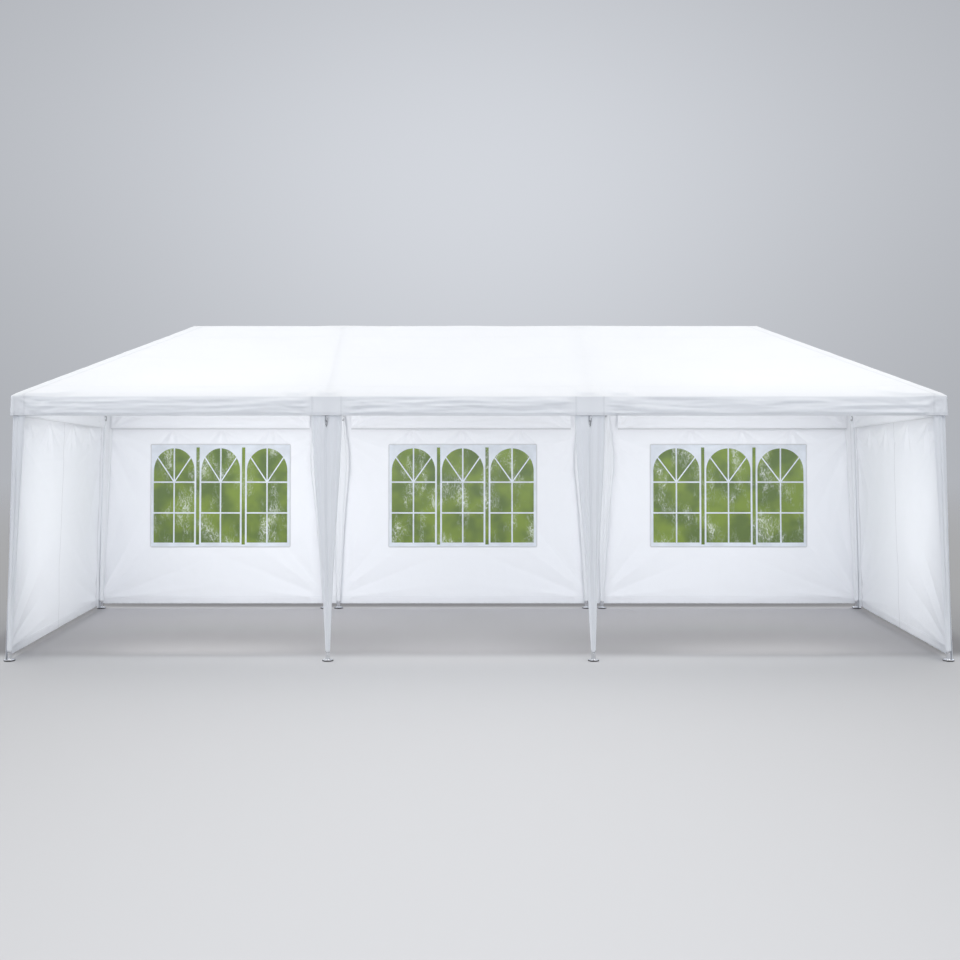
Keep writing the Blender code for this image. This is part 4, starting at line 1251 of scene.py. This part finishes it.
clear_film = make_film_material()
window_print = make_print_material()
for side, cut in REAR_PANELS.items():
    low, high = cut["window"]
    x = np.linspace(high + FILM_LAP, low - FILM_LAP, 170)
    z = np.linspace(WINDOW_Z[1] + FILM_LAP, WINDOW_Z[0] - FILM_LAP, 120)[:, None]
    x, z = np.broadcast_arrays(x, z)
    points = stand("rear", x, film_inset(side, x, z), z)
    mesh = grid_mesh(f"film_{side}", points, np.stack([x, z], axis=-1))
    film = new_object(f"film_{side}", mesh, clear_film, "clear_film", f"window_{side}")
    flat = (high - low + 2 * FILM_LAP, WINDOW_Z[1] - WINDOW_Z[0] + 2 * FILM_LAP)
    parts = []
    third = (high - low) / 3
    for number in range(3):
        left = low + third * number + (SLIT / 2 if number else 0)
        right = low + third * (number + 1) - (SLIT / 2 if number < 2 else 0)
        parts += light_parts(side, left, right, (low, high))
    head = (WINDOW_Z[1] + FILM_LAP, FILM_LAP + SLIT_SHORT)
    for edge_z, deep in (head, (WINDOW_Z[0] + SILL, FILM_LAP + SILL)):
        mid_z = edge_z - deep / 2
        ends = (low - FILM_LAP, mid_z), (high + FILM_LAP, mid_z)
        parts.append(band(side, *ends, deep, EDGE_PROUD))
    mesh = joined(f"window_bars_{side}", parts)
    new_object(f"window_bars_{side}", mesh, window_print, "clear_film", sharp=40)


# Leg covers: curtains of the same cloth, sewn to the valance over each leg, slit where the leg's
# joint is, and drawn together down to the foot.
COVER_BOTTOM_Z = 0.100
COVER_TOP_Z = 2.372
REAR_COVER_TOP_Z = 2.33
COVER_GRIP = 0.0222
COVER_DEPTH = 0.0280
CORNER_COVER_OUT = 0.040
FRONT_COVER = (
    (0.10, 0.0224), (0.50, 0.040), (0.78, 0.053), (1.30, 0.087), (1.89, 0.129), (2.20, 0.142),
    (COVER_TOP_Z, 0.147),
)
REAR_COVER = (
    (0.10, 0.0224), (0.42, 0.036), (0.70, 0.045), (1.20, 0.074), (1.68, 0.112), (1.88, 0.108),
    (2.10, 0.078), (REAR_COVER_TOP_Z, 0.046),
)
SLIT_LOW_Z = 2.235
REAR_SLIT_LOW_Z = 2.26
SLIT_HALF = 0.0155
COVER_WHITE = (0.895, 0.915, 0.945)


def cover_heights(leg, top):
    """The heights of a cover's rings, as a column, and the leg's axis at each."""
    z = np.linspace(top, COVER_BOTTOM_Z, 96)
    return z[:, None], np.stack([leg_axis(leg, height) for height in z])


def cover_mesh(name, centre, x, y, z):
    """A cover's mesh from its rings about the leg's axis, and each ring's girth."""
    points = np.stack([centre[:, :1] + x, centre[:, 1:2] + y, z + 0 * x], axis=-1)
    step_x, step_y = (np.diff(part, axis=1, prepend=part[:, :1]) for part in (x, y))
    walked = np.cumsum(np.hypot(step_x, step_y), axis=1)
    flat = np.stack([walked, z + 0 * x], axis=-1)
    return welded(grid_mesh(name, points, flat)), walked[:, -1]


def slit_mesh(name, leg, widths, slit_low, seed):
    """A cover wrapped round its leg from lip to lip, the lips meeting in front.

    Across the front x runs evenly from the lip to the side while the depth follows a flattened
    ellipse; the back is half an ellipse. Pleats stand at fixed shares of the width, so they draw
    together towards the foot, and one lip tucks under the other below the slit.
    """
    top = widths[-1][0]
    z, centre = cover_heights(leg, top)
    half = np.interp(z, *zip(*widths))
    depth = np.minimum(half, COVER_DEPTH)
    share = np.linspace(0, 1, 22)
    back = np.linspace(0, math.pi, 19)[1:-1]
    lip = np.minimum(SLIT_HALF * rise(z, slit_low, slit_low + 0.07), half * 0.3)
    over = 0.10 * half * rise(slit_low - z, -0.02, 0.1)
    front_x = lip - over + (half - lip + over) * share
    front_y = np.sqrt(1 - share**2 * 0.999) ** 0.8 * depth
    back_x = half * np.cos(back)
    x = np.hstack([front_x, back_x, -front_x[:, ::-1]])
    y = np.hstack([front_y, -depth * np.sin(back), front_y[:, ::-1]])
    across = x / half
    front = np.hstack([np.ones_like(front_x), np.zeros_like(back_x), np.ones_like(front_x)])
    soft = rise(half, 0.024, 0.06) * (1 - 0.6 * rise(z, top - 0.12, top))
    drift = across * 2.3 + 0.10 * noise(z * 1.5, 0 * z, seed)
    pleat = 0.0115 * creases(drift, z * 0.35, seed + 1, 2)
    side_fold = 0.006 * np.exp(-(((np.abs(across) - 0.72) / 0.10) ** 2))
    curl = np.exp(-np.abs(np.abs(x) - lip) / 0.006) * 0.006 * rise(z, slit_low - 0.03, slit_low)
    tuck = np.zeros_like(x)
    tuck[:, -len(share):] = 0.006 * np.exp(-np.abs(across[:, -len(share):]) / 0.22)
    y = y - tuck * rise(z, slit_low, slit_low - 0.05) - curl
    y = y + (pleat - side_fold) * soft * front * (1 - np.abs(across) ** 6)
    small = 0.0008 * creases(x * 30, z * 6, seed + 5, 2) * soft
    crumpled = np.clip(y + small, 0.004 - 0.03 * (half > 0.06), depth + 0.006)
    return cover_mesh(name, centre, x, -np.where(front > 0, crumpled, y), z)


def corner_mesh(name, leg, seed):
    """A corner leg's cover: at the top it follows both valances for a way, at the foot the tube.

    Its section is a ring round the leg whose radius is that of a square at the top, cut off
    close to the leg on the inside of the corner, and a circle at the foot.
    """
    z, centre = cover_heights(leg, COVER_TOP_Z)
    out_x, out_y = np.sign(centre[0, 0]), np.sign(centre[0, 1])
    start = math.atan2(-out_y, -out_x)
    turn = start + np.linspace(0, 2 * math.pi + 0.3, 60)
    toward_x, toward_y = np.cos(turn) * out_x, np.sin(turn) * out_y
    reach = np.full(len(turn), 0.066)
    slanting = 0.42 * toward_x + 0.91 * toward_y
    for toward, most in ((toward_x, CORNER_COVER_OUT), (toward_y, 0.0330), (slanting, 0.0350)):
        cut_off = np.minimum(reach, most / np.maximum(toward, 0.01))
        reach = np.where(toward > 0.01, cut_off, reach)
    inside = rise(-toward_x, 0.0, 0.5) * rise(-toward_y, 0.0, 0.5)
    reach = reach * (1 - inside) + 0.034 * inside
    up = (z - COVER_BOTTOM_Z) / (COVER_TOP_Z - COVER_BOTTOM_Z)
    outer = np.maximum(rise(toward_x, -0.2, 0.4), rise(toward_y, -0.2, 0.4))
    grip = COVER_GRIP + 0.006 * rise(toward_x, 0.0, 0.5)
    swell = outer * up + (1 - outer) * up**2.0
    pleat = 0.010 * creases((turn - start) * 3.2 + 0.15 * z, z * 0.35, seed, 2)
    for fold, deep in ((-0.35, 0.012), (-0.85, 0.008)):
        away = np.exp(-(((toward_x - fold) / 0.13) ** 2))
        pleat = pleat - deep * away * rise(toward_y, 0.0, 0.3)
    lap = rise(np.abs(np.cos((turn - start) / 2)), 1.0, 0.9)
    calm = rise(up, 0.0, 0.30) * (1 - 0.45 * up) * lap
    tuck = 0.0015 * rise(turn - start, 2 * math.pi + 0.1, 2 * math.pi - 0.1)
    radius = np.maximum(grip + (reach - grip) * swell + pleat * calm, 0.0205) + tuck
    return cover_mesh(name, centre, radius * np.cos(turn), radius * np.sin(turn), z)


cover_cloth = cloth("cover_cloth", COVER_WHITE, glow=0.14, seams=(("X", 0.012),))
for number, leg in enumerate(LEGS):
    name, seed, top = f"curtain_{leg}", 400 + 9 * number, COVER_TOP_Z
    if "inner" not in leg:
        mesh, girth = corner_mesh(name, leg, seed)
    elif leg.startswith("front"):
        mesh, girth = slit_mesh(name, leg, FRONT_COVER, SLIT_LOW_Z, seed)
    else:
        top = REAR_COVER_TOP_Z
        mesh, girth = slit_mesh(name, leg, REAR_COVER, REAR_SLIT_LOW_Z, seed)
    curtain = new_object(name, mesh, cover_cloth, "cover_cloth", f"cover_{leg}")
    height = top - COVER_BOTTOM_Z
    flat, area = (float(girth.max()), height), float(girth.mean()) * height


# Hooks and knots: where each inner leg's cover is slit, a dark steel hook hangs from the eave
# joint to hold the wall's loop, under a knot of white tape; the rear corners have them too.
HOOK_RADIUS = 0.0022
HOOK_TOP_Z = 2.352
HOOK_LOW_Z = 2.262
HOOK_OUT = 0.0275
CORNER_HOOK_OUT = 0.070
HOOK_STEEL = (0.15, 0.15, 0.155)
TAPE_WHITE = (0.88, 0.89, 0.91)


def swept(path, radius, sides=10):
    """A wire along a path in an upright plane, closed at both ends.

    Its rings are circles, each spanned by the line square to the path in that plane and by the
    depth.
    """
    path = np.array(path, float)
    way = np.gradient(path, axis=0)
    way /= np.linalg.norm(way, axis=1)[:, None]
    across = np.column_stack([way[:, 2], 0 * way[:, 0], -way[:, 0]])
    angles = np.linspace(0, 2 * math.pi, sides, endpoint=False)[:, None, None]
    rings = path + radius * (np.cos(angles) * across - np.sin(angles) * np.array([0.0, 1.0, 0.0]))
    return capped(rings.transpose(1, 0, 2))


def hook_path(top, low_z, bow):
    """An open hook: straight down from the top, then three quarters of a circle of radius bow."""
    straight = np.linspace(0, 1, 6)[:-1, None] * np.array([0, 0, low_z + bow - top[2]]) + top
    turn = np.linspace(0, 1.45 * math.pi, 16)[:, None]
    middle = np.array([top[0] - bow, top[1], low_z + bow])
    around = middle + bow * np.hstack([np.cos(turn), 0 * turn, -np.sin(turn)])
    return np.vstack([straight, around])


hook_steel = metal("hook_steel", HOOK_STEEL, 0.35, 0.9, 200.0, 0.1)
knot_tape = metal("knot_tape", TAPE_WHITE, 0.6, 0.0, 500.0, 0.4)
bead_turns = np.linspace(0.3, 2.84, 9)
bead = [(0.010 - 0.010 * math.cos(turn), 0.010 * math.sin(turn)) for turn in bead_turns]
bead = [(0, 0), *bead, (0.020, 0)]
tail = [(0, 0), (0, 0.0042), (0.03, 0.003), (0.03, 0)]
for leg in LEGS:
    if leg.startswith("front") and "inner" not in leg:
        continue
    out = HOOK_OUT if "inner" in leg else CORNER_HOOK_OUT
    top = leg_axis(leg, HOOK_TOP_Z) + (0.005, -out, 0)
    if leg.startswith("rear_inner"):
        top -= (0.034 * np.sign(top[0]), 0.004, 0.022)
    eye = top + (0.002, 0, -0.03)
    hook = [swept(hook_path(top, HOOK_LOW_Z, 0.0085), HOOK_RADIUS)]
    hook.append(swept(hook_path(eye, HOOK_LOW_Z + 0.045, 0.0060), HOOK_RADIUS * 0.8))
    new_object(f"hook_{leg}", joined(f"hook_{leg}", hook), hook_steel, "bright_steel")
    knot = top + (-0.006, -0.001, -0.006)
    parts = [turned(knot, knot + (1, 0, 0.3), bead, 14)]
    parts.append(turned(knot + (0.004, 0, -0.008), knot + (0.010, 0, -0.04), tail, 10))
    new_object(f"knot_{leg}", joined(f"knot_{leg}", parts), knot_tape, "cover_cloth")
